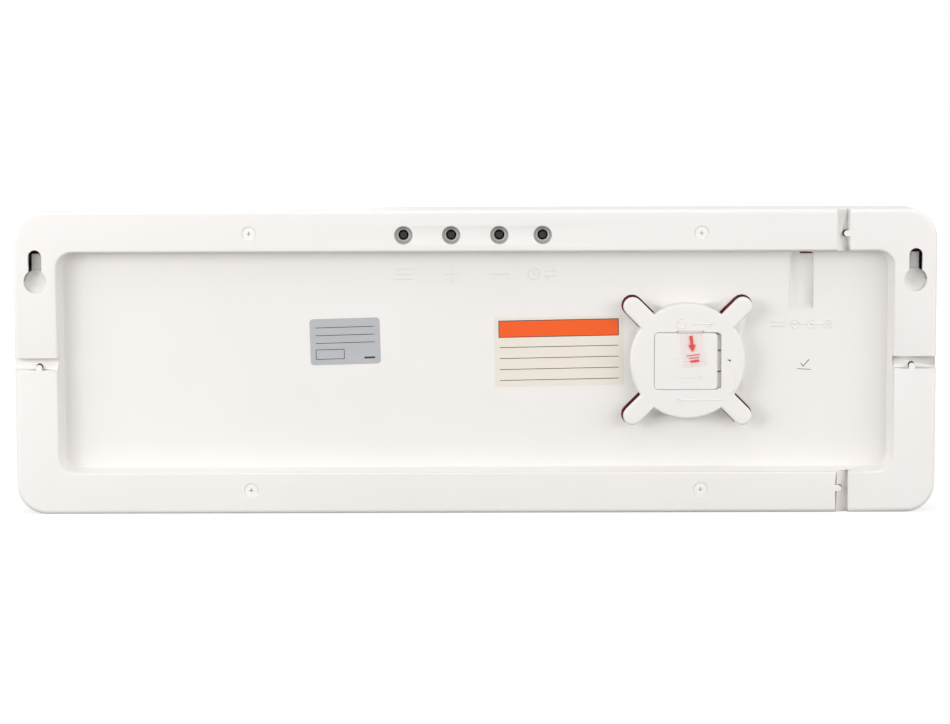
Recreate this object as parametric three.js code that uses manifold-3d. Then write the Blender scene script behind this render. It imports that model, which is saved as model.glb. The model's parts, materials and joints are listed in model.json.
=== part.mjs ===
// A large digital wall and table clock: a long, shallow case with a display behind a tinted lens in
// front, and a recessed back with a cable winder, a coin cell under a sliding cover, four setting
// keys, a power socket, cable grooves and two keyholes.
//
// Millimetres. +Z is up, the display looks towards -Y and the back towards +Y. The origin lies under
// the middle of the case, on the edge that it stands on. Right and left are those of a person who
// looks at the display, so +X is to the right.

import * as THREE from 'three';
import { mergeVertices } from 'three/addons/utils/BufferGeometryUtils.js';
import Module from 'manifold-3d';

const wasm = await Module();
wasm.setup();

// How far a cutter reaches past the face it cuts, and a joined piece into the one it grows from
const overrun = 1;
const fuse = 1;

// Case
const caseWidth = 423;
const caseHeight = 140;
const caseDepth = 30;
const caseCorner = 13.5;
const caseWall = 2.2;
const frontRound = 2.5;
const backRound = 2;
const coverDepth = 14;
const seamChamfer = 0.4;
const innerChamfer = 1;
const lipHeight = 1.6;
const lipThickness = 1;
const lipClearance = 0.3;

// Lens and the ledge it is glued on
const frameBorder = 16;
const lensThickness = 2;
const lensCorner = 5;
const lensChamfer = 0.3;
const lensClearance = 0.3;
const lensSunk = 0.2;
const windowCorner = 3;
const ledgeWidth = 4;
const ledgeThickness = 1.8;

// Display behind the lens: film, reflector, circuit board
const filmThickness = 0.4;
const stackGap = 0.2;
const boardThickness = 1.6;
const boardOverhang = 4;
const boardScrewInset = 11.5;
const boardScrewEdge = 7;
const boardCorner = 3;
const stackInset = 1;
const stackCorner = 2;
const displayMargin = 10;
const digitMargin = 6;
const digitGap = 17;
const colonSpace = 46;
const strokeWidth = 13;
const strokeGap = 1.6;
const strokeTaper = 3;
const colonDot = 12;
const colonSpread = 0.4;
const ledSpread = 0.2;
const ledLength = 3;
const ledWidth = 2.6;
const ledHeight = 1;
const boardSpace = 1.9;

// Recess in the back
const rimWidth = 19;
const rimSide = 19.6;
const recessDepth = 10.5;
const recessCorner = 7.5;
const recessDraft = 1.2;
const recessFloorRound = 0.8;
const recessRimRound = 0.8;
const recessWall = 2;

// Screws that hold the case together
const caseScrewSpacing = 207;
const caseScrewInset = 10.8;
const caseScrewHead = 5.2;
const caseScrewHeadHeight = 1.9;
const caseScrewCore = 2.4;
const caseScrewLength = 15;
const caseScrewSunk = 0.5;
const counterbore = 5.9;
const counterboreDish = 7;
const counterboreDishDepth = 0.8;
const bossDiameter = 7.6;
const frontBossDiameter = 6;
const pilotSpare = 1;

// Small screws of the circuit boards
const smallScrewHead = 4;
const smallScrewHeadHeight = 1.3;
const smallScrewCore = 1.6;
const smallScrewLength = 5.5;
const smallPost = 5;
const screwGap = 0.3;

// Shape of every screw, as shares of its own sizes
const screwTip = 0.7;
const screwHeadSide = 0.45;
const screwHeadTop = 0.64;

// Keyholes for hanging on a wall
const keyholeInset = 10;
const keyholeDrop = 19.5;
const keyholeTravel = 12.9;
const keyholeSlot = 6.1;
const keyholeHead = 10.6;
const keyholeDepth = 6;
const keyholeWall = 1.5;
const keyholeSlotShoulder = 0.9;
const keyholeTongueGap = 0.9;
const keyholeTongueNeck = 4.3;
const keyholeTongueEnd = 2.7;

// Setting keys: places along X from the left-hand end of the row as the back is seen
const keyPlaces = { key_menu: 32.8, key_plus: 11, key_minus: -11, key_mode: -30.8 };
const keyInset = 11.5;
const keyFunnel = 8.5;
const keyFunnelDepth = 2.6;
const keyFunnelLand = 0.7;
const keyHole = 4.8;
const keyCollarDepth = 3.4;
const keyCollarWall = 1.6;
const keyStem = 3.4;
const keySunk = 2.8;
const keyTravel = 0.35;
const switchSize = 6;
const switchBodyHeight = 3.5;
const switchHeight = 9.5;
const switchBoreDepth = 1.6;
const keyTipRound = 0.3;
const keySpare = 0.25;
const keyBoardEnd = 12;
const keyBoardThickness = 1.2;
const keyBoardGap = 1;

// Cable grooves through the rim
const grooveWidth = 6.2;
const grooveSlope = 1;
const grooveDepth = 4.6;
const grooveFloor = 1.6;
const sideGrooveDrop = 0.7;
const endGrooveInset = 43;
const tabWidth = 2.8;
const tabReach = 3.1;
const tabThickness = 1.6;
const tabPlace = 11.2;
const tabHole = 3.3;
const tabHoleShift = 0.2;

// Power socket and the pocket that leaves room for its plug
const socketInset = 60;
const socketBarrel = 5;
const socketBore = 3.8;
const socketPinDiameter = 1.3;
const socketPinSunk = 1.5;
const socketSunk = 1.3;
const socketBackWall = 2;
const socketWidth = 6.6;
const socketHeight = 7;
const socketLength = 10;
const socketBoardWidth = 25;
const socketBoardEdge = 3;
const plugPocketDepth = 3.5;
const plugPocketMouth = { plus: 6.9, minus: 4.4 };
const plugPocketFloor = { plus: 4.3, minus: 4.1 };
const plugPocketLength = 26.5;
const plugPocketRamp = 3;
const plugPocketWall = 1.5;
const plugSlotWidth = 5.8;
const plugSlotLength = 1;

// Cable winder: a drum on the recess floor with four arms over moulding slots
const winderInset = 114;
const winderDiameter = 53.2;
const winderHeight = 8.5;
const winderWall = 2;
const winderRound = 1;
const armCount = 4;
const armWidth = 8.7;
const armReach = 13.5;
const armSlotGap = 0.55;

// Coin cell compartment in the drum
const cellDiameter = 20;
const cellThickness = 3.2;
const cellCapInset = 1.2;
const cellCapHeight = 0.6;
const cellRound = 0.4;
const doorWidth = 30.8;
const doorHeight = 26.4;
const doorCorner = 2;
const doorLedge = 0.8;
const coverThickness = 1.5;
const coverGap = 0.3;
const coverSlide = 1.6;
const coverSunk = 0.1;
const coverRest = 0.2;
const coverRound = 0.3;
const doorChamfer = 0.3;
const wellWall = 1.5;
const wellDepth = 7.5;
const cellLift = 1.2;
const cradleClearance = 0.4;
const cradleWall = 1.2;
const cradleHeight = 3;
const latchWidth = 9.6;
const latchSlit = 0.5;
const latchThickness = 1.2;
const latchFlex = 1;
const latchRoot = 1.4;
const sillReach = 0.5;
const latchHole = 2;
const latchHolePlace = 18.9;
const lugWidth = 4;
const lugSpacing = 17;
const lugReach = 1.5;
const lugThickness = 1;
const lugRoot = 1.7;
const contactSheet = 0.3;
const contactWidth = 4;
const contactTail = 1.2;
const clipStandoff = 0.9;
const clipFoot = 1.5;
const springRoot = 4;
const springLength = 8;
const springTaper = 0.6;
const springTip = 1.4;

// Pull tab: a film between the cell and its contact that folds out over the cover
const tabFilmWidth = 10.6;
const tabFilmThickness = 0.2;
const tabFilmLength = 16.6;
const tabFilmLean = 2.2;
const tabFilmShift = 1.2;
const tabFilmSkew = 1.5;
const tabFilmUnder = 10;
const tabFilmGap = 0.25;
const tabFilmNotch = 0.8;

// Parts on the circuit boards, with their distances from the board's right-hand end and lower edge
const clockChip = { width: 10, height: 10, thickness: 1.4, fromEnd: 142.5, fromEdge: 63 };
const driverChip = { width: 13, height: 7.6, thickness: 1.6, fromEnd: 222.5, fromEdge: 41 };
const crystalPlace = { fromEnd: 128.5, fromEdge: 66 };
const capacitorPlace = { fromEnd: 172.5, fromEdge: 33 };
const buzzerPlace = { fromEnd: 62.5, fromEdge: 37 };
const crystalDiameter = 2;
const crystalLength = 6;
const capacitorDiameter = 5;
const capacitorHeight = 4.2;
const capacitorRound = 0.4;
const buzzerDiameter = 12;
const buzzerHeight = 4.2;
const buzzerPort = 2;
const wireThickness = 0.9;
const wireGap = 0.3;
const socketWires = { width: 2.6, shift: 11 };
const keyWires = { width: 6 };
const cellWires = { width: 2.6 };

// Routes of the flat cables, as distances down from the rim's inner edge or from the middle
const cableTension = 0.3;
const rimCableRoute = { tail: 2.5, middle: 2, foot: 7, end: 11 };
const cellCableRoute = { start: 4, tail: 8, middle: 14, foot: 20, end: 24 };

// Planes that several pieces share
const frontY = -caseDepth / 2;
const backY = caseDepth / 2;
const seamY = backY - coverDepth;
const middleZ = caseHeight / 2;
const lensWidth = caseWidth - 2 * frameBorder;
const lensHeight = caseHeight - 2 * frameBorder;
const lensBackY = frontY + lensSunk + lensThickness;
const ledgeBackY = lensBackY + ledgeThickness;
const floorY = backY - recessDepth;
const plugFloorY = floorY - plugPocketDepth;
const boardBackY = plugFloorY - plugPocketWall - boardSpace;
const boardFrontY = boardBackY - boardThickness;
const filmBackY = ledgeBackY + filmThickness;
const rimInnerY = backY - caseWall;
const caseScrewSeatY = backY - caseScrewSunk - caseScrewHeadHeight;
const caseScrewTipY = caseScrewSeatY - caseScrewLength;
const keyBoardY = backY - keySunk - switchHeight;
const winderX = -(caseWidth / 2 - winderInset);
const winderFaceY = floorY + winderHeight;
const plateInnerY = winderFaceY - winderWall;
const wellFloorY = winderFaceY - wellDepth;
const ledgeY = winderFaceY - coverSunk - coverThickness - coverRest;
const cellBackY = wellFloorY + cellLift;
const recessTopZ = caseHeight - rimWidth;
const keyZ = caseHeight - keyInset;
const socketX = -(caseWidth / 2 - socketInset);
const socketY = keyBoardY + socketHeight / 2;

const caseOutline = { x: 0, z: middleZ, width: caseWidth, height: caseHeight, radius: caseCorner };
const recessOutline = {
  x: 0,
  z: middleZ,
  width: caseWidth - 2 * rimSide,
  height: caseHeight - 2 * rimWidth,
  radius: recessCorner,
};

// Solids and meshes

function toSolid(geometry) {
  geometry.deleteAttribute('normal');
  geometry.deleteAttribute('uv');
  const merged = mergeVertices(geometry, 1e-4);
  return new wasm.Manifold(new wasm.Mesh({
    numProp: 3,
    vertProperties: new Float32Array(merged.attributes.position.array),
    triVerts: new Uint32Array(merged.index.array),
  }));
}

function toGeometry(solid) {
  const mesh = solid.getMesh();
  const geometry = new THREE.BufferGeometry();
  geometry.setAttribute('position', new THREE.BufferAttribute(mesh.vertProperties, 3));
  geometry.setIndex(new THREE.BufferAttribute(mesh.triVerts, 1));
  geometry.computeVertexNormals();
  return geometry;
}

const joined = (solids) => solids.reduce((sum, next) => sum.add(next));
const cutBy = (solid, cutters) => cutters.reduce((rest, next) => rest.subtract(next), solid);

// A box from its lower and upper limits along each axis
function block([x0, x1], [y0, y1], [z0, z1]) {
  const geometry = new THREE.BoxGeometry(x1 - x0, y1 - y0, z1 - z0);
  geometry.translate((x0 + x1) / 2, (y0 + y1) / 2, (z0 + z1) / 2);
  return toSolid(geometry);
}

// A flat piece whose shape is drawn in X and Z and which fills the space between two Y planes
function slab(shape, yFrom, yTo, curveSegments = 6) {
  const geometry = new THREE.ExtrudeGeometry(shape, {
    depth: yTo - yFrom,
    bevelEnabled: false,
    curveSegments,
  });
  geometry.rotateX(Math.PI / 2);
  geometry.translate(0, yTo, 0);
  return toSolid(geometry);
}

// Points of a rounded rectangle in X and Z, drawn in by an inset, at one Y
function ring({ x, z, width, height, radius }, { y, inset = 0 }, arcSteps) {
  const halfX = width / 2 - radius;
  const halfZ = height / 2 - radius;
  const corner = radius - inset;
  const points = [];
  for (const [quarter, [sx, sz]] of [[1, 1], [-1, 1], [-1, -1], [1, -1]].entries()) {
    for (let step = 0; step <= arcSteps; step += 1) {
      const angle = (quarter + step / arcSteps) * Math.PI / 2;
      const point = new THREE.Vector3(
        x + sx * halfX + corner * Math.cos(angle),
        y,
        z + sz * halfZ + corner * Math.sin(angle),
      );
      const last = points.at(-1);
      if (!last || last.distanceTo(point) > 1e-3) points.push(point);
    }
  }
  if (points[0].distanceTo(points.at(-1)) < 1e-3) points.pop();
  return points;
}

// A closed solid through rings of equally many points, listed from low Y to high Y
function skin(rings) {
  const count = rings[0].length;
  const positions = rings.flat().flatMap((point) => point.toArray());
  const faces = [];
  for (let level = 0; level < rings.length - 1; level += 1) {
    for (let k = 0; k < count; k += 1) {
      const next = (k + 1) % count;
      const low = level * count;
      const high = low + count;
      faces.push(low + k, high + k, high + next, low + k, high + next, low + next);
    }
  }
  const top = (rings.length - 1) * count;
  for (let k = 1; k < count - 1; k += 1) {
    faces.push(0, k, k + 1, top, top + k + 1, top + k);
  }
  const geometry = new THREE.BufferGeometry();
  geometry.setAttribute('position', new THREE.Float32BufferAttribute(positions, 3));
  geometry.setIndex(faces);
  return toSolid(geometry);
}

const loft = (outline, sections, arcSteps = 6) =>
  skin(sections.map((section) => ring(outline, section, arcSteps)));

const circle = (x, z, diameter) => ({
  x,
  z,
  width: diameter,
  height: diameter,
  radius: diameter / 2,
});

const between = (yFrom, yTo) => [{ y: yFrom }, { y: yTo }];

// A round pin or hole along Y
const rod = (x, z, diameter, yFrom, yTo, arcSteps = 3) =>
  loft(circle(x, z, diameter), between(yFrom, yTo), arcSteps);

// Sections of a quarter round that ends flat at yEnd: outline drawn in by the radius, or out when
// the radius is negative, above (side 1) or below (side -1) the straight wall
function quarterRound(yEnd, radius, side, base = 0, steps = 3) {
  const sections = [];
  for (let step = 0; step <= steps; step += 1) {
    const angle = step / steps * Math.PI / 2;
    sections.push({
      y: yEnd - side * Math.abs(radius) * (1 - Math.sin(angle)),
      inset: base + radius * (1 - Math.cos(angle)),
    });
  }
  return side > 0 ? sections : sections.reverse();
}

function roundedRectangle(x, z, width, height, radius) {
  const shape = new THREE.Shape();
  const halfX = width / 2 - radius;
  const halfZ = height / 2 - radius;
  shape.absarc(x + halfX, z + halfZ, radius, 0, Math.PI / 2);
  shape.absarc(x - halfX, z + halfZ, radius, Math.PI / 2, Math.PI);
  shape.absarc(x - halfX, z - halfZ, radius, Math.PI, Math.PI * 1.5);
  shape.absarc(x + halfX, z - halfZ, radius, Math.PI * 1.5, Math.PI * 2);
  shape.closePath();
  return shape;
}

const polygon = (points) => new THREE.Shape(points.map(([x, z]) => new THREE.Vector2(x, z)));

// A flat strip of constant thickness that follows a curve in Y and Z and is wide along X
function strip(points, thickness, x, width, steps = 10) {
  const curve = new THREE.CatmullRomCurve3(
    points.map(([y, z]) => new THREE.Vector3(0, y, z)),
    false,
    'catmullrom',
    cableTension,
  );
  const left = [];
  const right = [];
  for (let step = 0; step <= steps; step += 1) {
    const point = curve.getPointAt(step / steps);
    const tangent = curve.getTangentAt(step / steps);
    const side = new THREE.Vector2(-tangent.z, tangent.y).multiplyScalar(thickness / 2);
    left.push(new THREE.Vector2(point.y + side.x, point.z + side.y));
    right.push(new THREE.Vector2(point.y - side.x, point.z - side.y));
  }
  const geometry = new THREE.ExtrudeGeometry(new THREE.Shape([...left, ...right.reverse()]), {
    depth: width,
    bevelEnabled: false,
  });
  // The drawing's X is the clock's Y, its Y is the clock's Z and its depth runs along +X
  geometry.applyMatrix4(new THREE.Matrix4().set(
    0, 0, 1, x - width / 2,
    1, 0, 0, 0,
    0, 1, 0, 0,
    0, 0, 0, 1,
  ));
  return toSolid(geometry);
}

function mesh(name, solid, color, roughness, metalness = 0, extra = {}) {
  const material = new THREE.MeshStandardMaterial({ color, roughness, metalness, ...extra });
  const piece = new THREE.Mesh(toGeometry(solid), material);
  piece.name = name;
  return piece;
}

// Places of what repeats

const sides = [1, -1];
const caseScrewPlaces = sides.flatMap((top) => sides.map((right) => ({
  x: right * caseScrewSpacing / 2,
  z: middleZ + top * (caseHeight / 2 - caseScrewInset),
})));
const boardHalf = {
  x: caseWidth / 2 - boardScrewInset + boardOverhang,
  z: lensHeight / 2 - stackInset,
};
const boardScrewPlaces = sides.flatMap((top) => sides.map((right) => ({
  x: right * (boardHalf.x - boardOverhang),
  z: middleZ + top * (boardHalf.z - boardScrewEdge),
})));
const keyBoardEnds = [
  Math.max(...Object.values(keyPlaces)) + keyBoardEnd,
  Math.min(...Object.values(keyPlaces)) - keyBoardEnd,
];
const rimBoardZ = [
  recessTopZ + caseWall + keyBoardGap,
  caseHeight - caseWall - lipClearance - lipThickness - keyBoardGap,
];
const rimBoardMiddleZ = (rimBoardZ[0] + rimBoardZ[1]) / 2;
const keyBoardScrewX = [keyBoardEnds[0] - smallPost, keyBoardEnds[1] + smallPost];
const socketEndZ = recessTopZ - recessDraft + socketSunk;
const socketBoreEndZ = rimBoardZ[0] + socketLength - socketBackWall;
const socketBoardX = [socketX - socketBoardWidth / 2, socketX + socketBoardWidth / 2];
const socketScrewX = [socketBoardX[0] + socketBoardEdge, socketBoardX[1] - socketBoardEdge];
const rimScrewPlaces = [...keyBoardScrewX, ...socketScrewX].map((x) => ({ x, z: rimBoardMiddleZ }));

// Front bezel: a frame with the ledge for the lens and the posts for the board and the case screws

function frontBezel() {
  const outer = loft(caseOutline, [
    ...quarterRound(frontY, frontRound, -1),
    { y: seamY - seamChamfer },
    { y: seamY, inset: seamChamfer },
  ], 8);
  const room = loft(caseOutline, [
    { y: frontY + caseWall, inset: caseWall },
    { y: seamY + overrun, inset: caseWall },
  ], 5);
  const ledge = slab(roundedRectangle(
    0,
    middleZ,
    lensWidth + 2 * ledgeThickness,
    lensHeight + 2 * ledgeThickness,
    lensCorner + ledgeThickness,
  ), frontY, ledgeBackY);
  const bosses = caseScrewPlaces.map(({ x, z }) =>
    rod(x, z, frontBossDiameter, frontY + fuse, seamY));
  const posts = boardScrewPlaces.map(({ x, z }) =>
    rod(x, z, smallPost, frontY + fuse, boardFrontY));
  const hollow = cutBy(room, [ledge, ...bosses, ...posts]);
  const lensPocket = slab(roundedRectangle(
    0,
    middleZ,
    lensWidth + 2 * lensClearance,
    lensHeight + 2 * lensClearance,
    lensCorner,
  ), frontY - overrun, lensBackY);
  const window = slab(roundedRectangle(
    0,
    middleZ,
    lensWidth - 2 * ledgeWidth,
    lensHeight - 2 * ledgeWidth,
    windowCorner,
  ), frontY - overrun, ledgeBackY + overrun);
  const casePilots = caseScrewPlaces.map(({ x, z }) =>
    rod(x, z, caseScrewCore + 2 * screwGap, caseScrewTipY - pilotSpare, seamY + overrun));
  const boardPilots = boardScrewPlaces.map(({ x, z }) =>
    rod(
      x,
      z,
      smallScrewCore + 2 * screwGap,
      boardBackY - smallScrewLength - pilotSpare,
      boardFrontY + overrun,
    ));
  return cutBy(outer, [hollow, lensPocket, window, ...casePilots, ...boardPilots]);
}

// Lens, film, reflector and board of the display

function frontLens() {
  return loft(
    { x: 0, z: middleZ, width: lensWidth, height: lensHeight, radius: lensCorner - lensClearance },
    [
      { y: frontY + lensSunk, inset: lensChamfer },
      { y: frontY + lensSunk + lensChamfer },
      { y: lensBackY },
    ],
    4,
  );
}

const diffuserFilm = () => slab(
  roundedRectangle(0, middleZ, lensWidth, lensHeight, stackCorner),
  ledgeBackY,
  filmBackY,
  2,
);

const displayWidth = lensWidth - 2 * ledgeWidth - 2 * displayMargin;
const digitHeight = lensHeight - 2 * ledgeWidth - 2 * digitMargin;
const digitWidth = (displayWidth - 2 * digitGap - colonSpace) / 4;
const digitCentres = sides.flatMap((side) => [0, 1].map((place) =>
  side * (colonSpace / 2 + digitWidth / 2 + place * (digitWidth + digitGap))));

// The seven strokes of one digit: middle and direction of each
function strokesOf(digitX) {
  const halfX = (digitWidth - strokeWidth) / 2;
  const halfZ = (digitHeight - strokeWidth) / 2;
  const across = [halfZ, 0, -halfZ].map((z) => ({
    x: digitX,
    z: middleZ + z,
    length: 2 * halfX - 2 * strokeGap,
    upright: false,
  }));
  const upright = sides.flatMap((right) => sides.map((top) => ({
    x: digitX + right * halfX,
    z: middleZ + top * halfZ / 2,
    length: halfZ - 2 * strokeGap,
    upright: true,
  })));
  return [...across, ...upright];
}

// Six corners of a stroke with pointed ends, drawn in by an inset
function strokePoints({ x, z, length, upright }, inset, y) {
  const half = length / 2 - inset;
  const body = half - strokeWidth / 2 + inset;
  const side = strokeWidth / 2 - inset;
  const corners = [[half, 0], [body, side], [-body, side], [-half, 0], [-body, -side], [body, -side]];
  return corners.map(([along, across]) => (upright
    ? new THREE.Vector3(x - across, y, z + along)
    : new THREE.Vector3(x + along, y, z + across)));
}

const strokes = digitCentres.flatMap(strokesOf);
const colonPlaces = sides.map((top) => ({ x: 0, z: middleZ + top * digitHeight * colonSpread / 2 }));

function segmentReflector() {
  const yFront = filmBackY + stackGap;
  const yBack = boardFrontY - stackGap;
  const plate = slab(
    roundedRectangle(
      0,
      middleZ,
      lensWidth - 2 * stackInset,
      lensHeight - 2 * stackInset,
      stackCorner,
    ),
    yFront,
    yBack,
    2,
  );
  const wells = strokes.map((stroke) => skin([
    strokePoints(stroke, 0, yFront - overrun),
    strokePoints(stroke, 0, yFront),
    strokePoints(stroke, strokeTaper, yBack),
    strokePoints(stroke, strokeTaper, yBack + overrun),
  ]));
  const dots = colonPlaces.map(({ x, z }) => loft(circle(x, z, colonDot), [
    { y: yFront - overrun },
    { y: yFront },
    { y: yBack, inset: strokeTaper },
    { y: yBack + overrun, inset: strokeTaper },
  ], 3));
  return cutBy(plate, [...wells, ...dots]);
}

const led = (x, z, alongX) => {
  const [sizeX, sizeZ] = alongX ? [ledLength, ledWidth] : [ledWidth, ledLength];
  return block(
    [x - sizeX / 2, x + sizeX / 2],
    [boardFrontY - ledHeight, boardFrontY + boardThickness / 2],
    [z - sizeZ / 2, z + sizeZ / 2],
  );
};

function displayBoard() {
  const plate = slab(
    roundedRectangle(0, middleZ, 2 * boardHalf.x, 2 * boardHalf.z, boardCorner),
    boardFrontY,
    boardBackY,
    2,
  );
  const leds = strokes.flatMap(({ x, z, length, upright }) => sides.map((end) => {
    const step = end * length * ledSpread;
    return upright ? led(x, z + step, false) : led(x + step, z, true);
  }));
  const dots = colonPlaces.map(({ x, z }) => led(x, z, true));
  const holes = boardScrewPlaces.map(({ x, z }) =>
    rod(
      x,
      z,
      smallScrewCore + 2 * screwGap,
      boardFrontY - overrun,
      boardBackY + overrun,
    ));
  return cutBy(joined([plate, ...leds, ...dots]), holes);
}

// Rear cover

function recessLoft(grow, bottomY, arcSteps) {
  return loft(recessOutline, [
    ...quarterRound(bottomY, recessFloorRound, -1, recessDraft - grow, 2),
    ...quarterRound(backY, -recessRimRound, 1, -grow, 2),
    { y: backY + overrun, inset: -grow - recessRimRound },
  ], arcSteps);
}

// The four cable grooves: where each leaves the case, the direction it runs out in and the rim it crosses
const endGrooveX = -(caseWidth / 2 - endGrooveInset);
const sideGrooveZ = middleZ - sideGrooveDrop;
const grooves = [
  { x: -caseWidth / 2, z: sideGrooveZ, turn: Math.PI, tabSide: 1, rim: rimSide },
  { x: caseWidth / 2, z: sideGrooveZ, turn: 0, tabSide: -1, rim: rimSide },
  { x: endGrooveX, z: caseHeight, turn: Math.PI / 2, tabSide: 1, rim: rimWidth },
  { x: endGrooveX, z: 0, turn: -Math.PI / 2, tabSide: 1, rim: rimWidth },
];

// A groove piece is made with the case edge at the origin and +X running out of the case
function placed(solidInGrooveFrame, { x, z, turn }) {
  const cos = Math.round(Math.cos(turn));
  const sin = Math.round(Math.sin(turn));
  const matrix = new THREE.Matrix4().set(
    cos, 0, -sin, x,
    0, 1, 0, 0,
    sin, 0, cos, z,
    0, 0, 0, 1,
  );
  return solidInGrooveFrame.transform(matrix.elements);
}

function grooveChannel({ tabSide, rim }) {
  const bottomY = backY - grooveDepth;
  const half = grooveWidth / 2;
  const section = (x) => [
    new THREE.Vector3(x, bottomY, -tabSide * half),
    new THREE.Vector3(x, bottomY, tabSide * (half - grooveSlope)),
    new THREE.Vector3(x, backY + overrun, tabSide * half),
    new THREE.Vector3(x, backY + overrun, -tabSide * half),
  ];
  const [from, to] = [section(-rim - recessDraft), section(overrun)];
  return skinAlongX(tabSide > 0 ? from : from.reverse(), tabSide > 0 ? to : to.reverse());
}

// A prism between two equal sections at a low and a high X
function skinAlongX(from, to) {
  const geometry = new THREE.BufferGeometry();
  const positions = [...from, ...to].flatMap((point) => point.toArray());
  const count = from.length;
  const faces = [];
  for (let k = 0; k < count; k += 1) {
    const next = (k + 1) % count;
    faces.push(k, count + k, count + next, k, count + next, next);
  }
  for (let k = 1; k < count - 1; k += 1) {
    faces.push(0, k, k + 1, count, count + k + 1, count + k);
  }
  geometry.setAttribute('position', new THREE.Float32BufferAttribute(positions, 3));
  geometry.setIndex(faces);
  return toSolid(geometry);
}

const grooveGutter = ({ rim }) => block(
  [-rim - fuse, 0],
  [backY - grooveDepth - grooveFloor, backY],
  [-grooveWidth / 2 - grooveFloor, grooveWidth / 2 + grooveFloor],
);

// A round-ended tab reaches over the groove, and a hole under it lets the mould form it
function grooveTab(tabSide) {
  const root = tabSide * (grooveWidth / 2 + fuse);
  const tip = tabSide * (grooveWidth / 2 - tabReach + tabWidth / 2);
  const arm = block(
    [-tabPlace - tabWidth / 2, -tabPlace + tabWidth / 2],
    [backY - tabThickness, backY],
    [Math.min(root, tip), Math.max(root, tip)],
  );
  return arm.add(rod(-tabPlace, tip, tabWidth, backY - tabThickness, backY));
}

function grooveHole(tabSide) {
  const z = tabSide * (grooveWidth / 2 - tabReach + tabWidth / 2);
  return rod(
    -tabPlace,
    z - tabSide * tabHoleShift,
    tabHole,
    backY - grooveDepth - grooveFloor - overrun,
    backY - grooveDepth + overrun,
  );
}

// A keyhole: the screw head goes in at the round end, and the case drops onto the screw
const keyholes = sides.map((side) => ({
  side,
  x: side * (caseWidth / 2 - keyholeInset),
  headZ: caseHeight - keyholeDrop - keyholeTravel,
}));

function keyholeHousing({ side, x, headZ }) {
  const floor = backY - keyholeDepth;
  const outline = (grow) => roundedRectangle(
    x,
    headZ + (keyholeTravel - keyholeSlot / 2) / 2,
    keyholeHead + 2 * grow,
    keyholeHead + keyholeTravel - keyholeSlot / 2 + 2 * grow,
    keyholeHead / 2 + grow,
  );
  const body = slab(outline(keyholeWall), floor - keyholeWall, backY - fuse);
  const inside = slab(outline(0), floor, backY);
  const undercut = block(
    side > 0 ? [x, x + keyholeHead] : [x - keyholeHead, x],
    [floor, rimInnerY],
    [headZ, headZ + keyholeTravel],
  );
  return cutBy(body, [inside, undercut]);
}

// Under the edges of the slot the floor is open, so that the mould can form them; a tongue of the
// floor is left under the slot itself
function keyholeFloorCut({ x, headZ }) {
  const floor = backY - keyholeDepth;
  const half = keyholeSlot / 2 - keyholeTongueGap;
  const topZ = headZ + keyholeTravel - keyholeSlot / 2 + keyholeHead / 2;
  const channel = slab(roundedRectangle(
    x,
    (headZ + topZ) / 2,
    keyholeHead,
    topZ - headZ + 2 * keyholeSlotShoulder,
    keyholeHead / 2,
  ), floor - keyholeWall - overrun, floor + fuse, 4);
  const upper = block(
    [x - keyholeHead, x + keyholeHead],
    [floor - keyholeWall - overrun, floor + fuse],
    [headZ + keyholeSlotShoulder, topZ],
  );
  const tongue = slab(polygon([
    [x - keyholeHead / 2, headZ],
    [x + keyholeHead / 2, headZ],
    [x + keyholeHead / 2, headZ + keyholeSlotShoulder],
    [x + half, headZ + keyholeTongueNeck],
    [x + half, topZ - keyholeTongueEnd],
    [x - half, topZ - keyholeTongueEnd],
    [x - half, headZ + keyholeTongueNeck],
    [x - keyholeHead / 2, headZ + keyholeSlotShoulder],
  ]), floor - keyholeWall - 2 * overrun, floor + 2 * fuse);
  return channel.intersect(upper).subtract(tongue);
}

function keyholeCut({ x, headZ }) {
  const slotLength = keyholeTravel + keyholeSlot / 2;
  const slot = roundedRectangle(
    x,
    headZ + slotLength / 2 - keyholeSlot / 2,
    keyholeSlot,
    slotLength + keyholeSlot / 2,
    keyholeSlot / 2,
  );
  return joined([
    rod(x, headZ, keyholeHead, rimInnerY - overrun, backY + overrun, 6),
    slab(slot, rimInnerY - overrun, backY + overrun, 4),
  ]);
}

function keyFunnelCut(x) {
  const narrow = (keyFunnel - keyHole) / 2;
  return loft(circle(x, keyZ, keyFunnel), [
    { y: rimInnerY - keyCollarDepth - overrun, inset: narrow },
    { y: backY - keyFunnelDepth, inset: narrow },
    { y: backY - keyFunnelDepth, inset: narrow - keyFunnelLand },
    { y: backY },
    { y: backY + overrun },
  ], 5);
}

function plugPocket() {
  const top = recessTopZ - recessDraft;
  const bottom = top - plugPocketLength;
  const section = (y, { plus, minus }, rampInset, grow) => [
    new THREE.Vector3(socketX - minus - grow, y, bottom + rampInset - grow),
    new THREE.Vector3(socketX + plus + grow, y, bottom + rampInset - grow),
    new THREE.Vector3(socketX + plus + grow, y, top + grow),
    new THREE.Vector3(socketX - minus - grow, y, top + grow),
  ];
  return {
    mouth: skin([
      section(plugFloorY, plugPocketFloor, plugPocketRamp, 0),
      section(floorY, plugPocketMouth, 0, 0),
      section(floorY + overrun, plugPocketMouth, 0, 0),
    ]),
    wall: skin([
      section(plugFloorY - plugPocketWall, plugPocketFloor, plugPocketRamp, recessWall),
      section(floorY, plugPocketMouth, 0, recessWall),
    ]),
    slot: block(
      [socketX - plugPocketFloor.minus, socketX - plugPocketFloor.minus + plugSlotWidth],
      [plugFloorY - plugPocketWall - overrun, plugFloorY + overrun],
      [top - plugSlotLength, top],
    ),
  };
}

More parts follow.
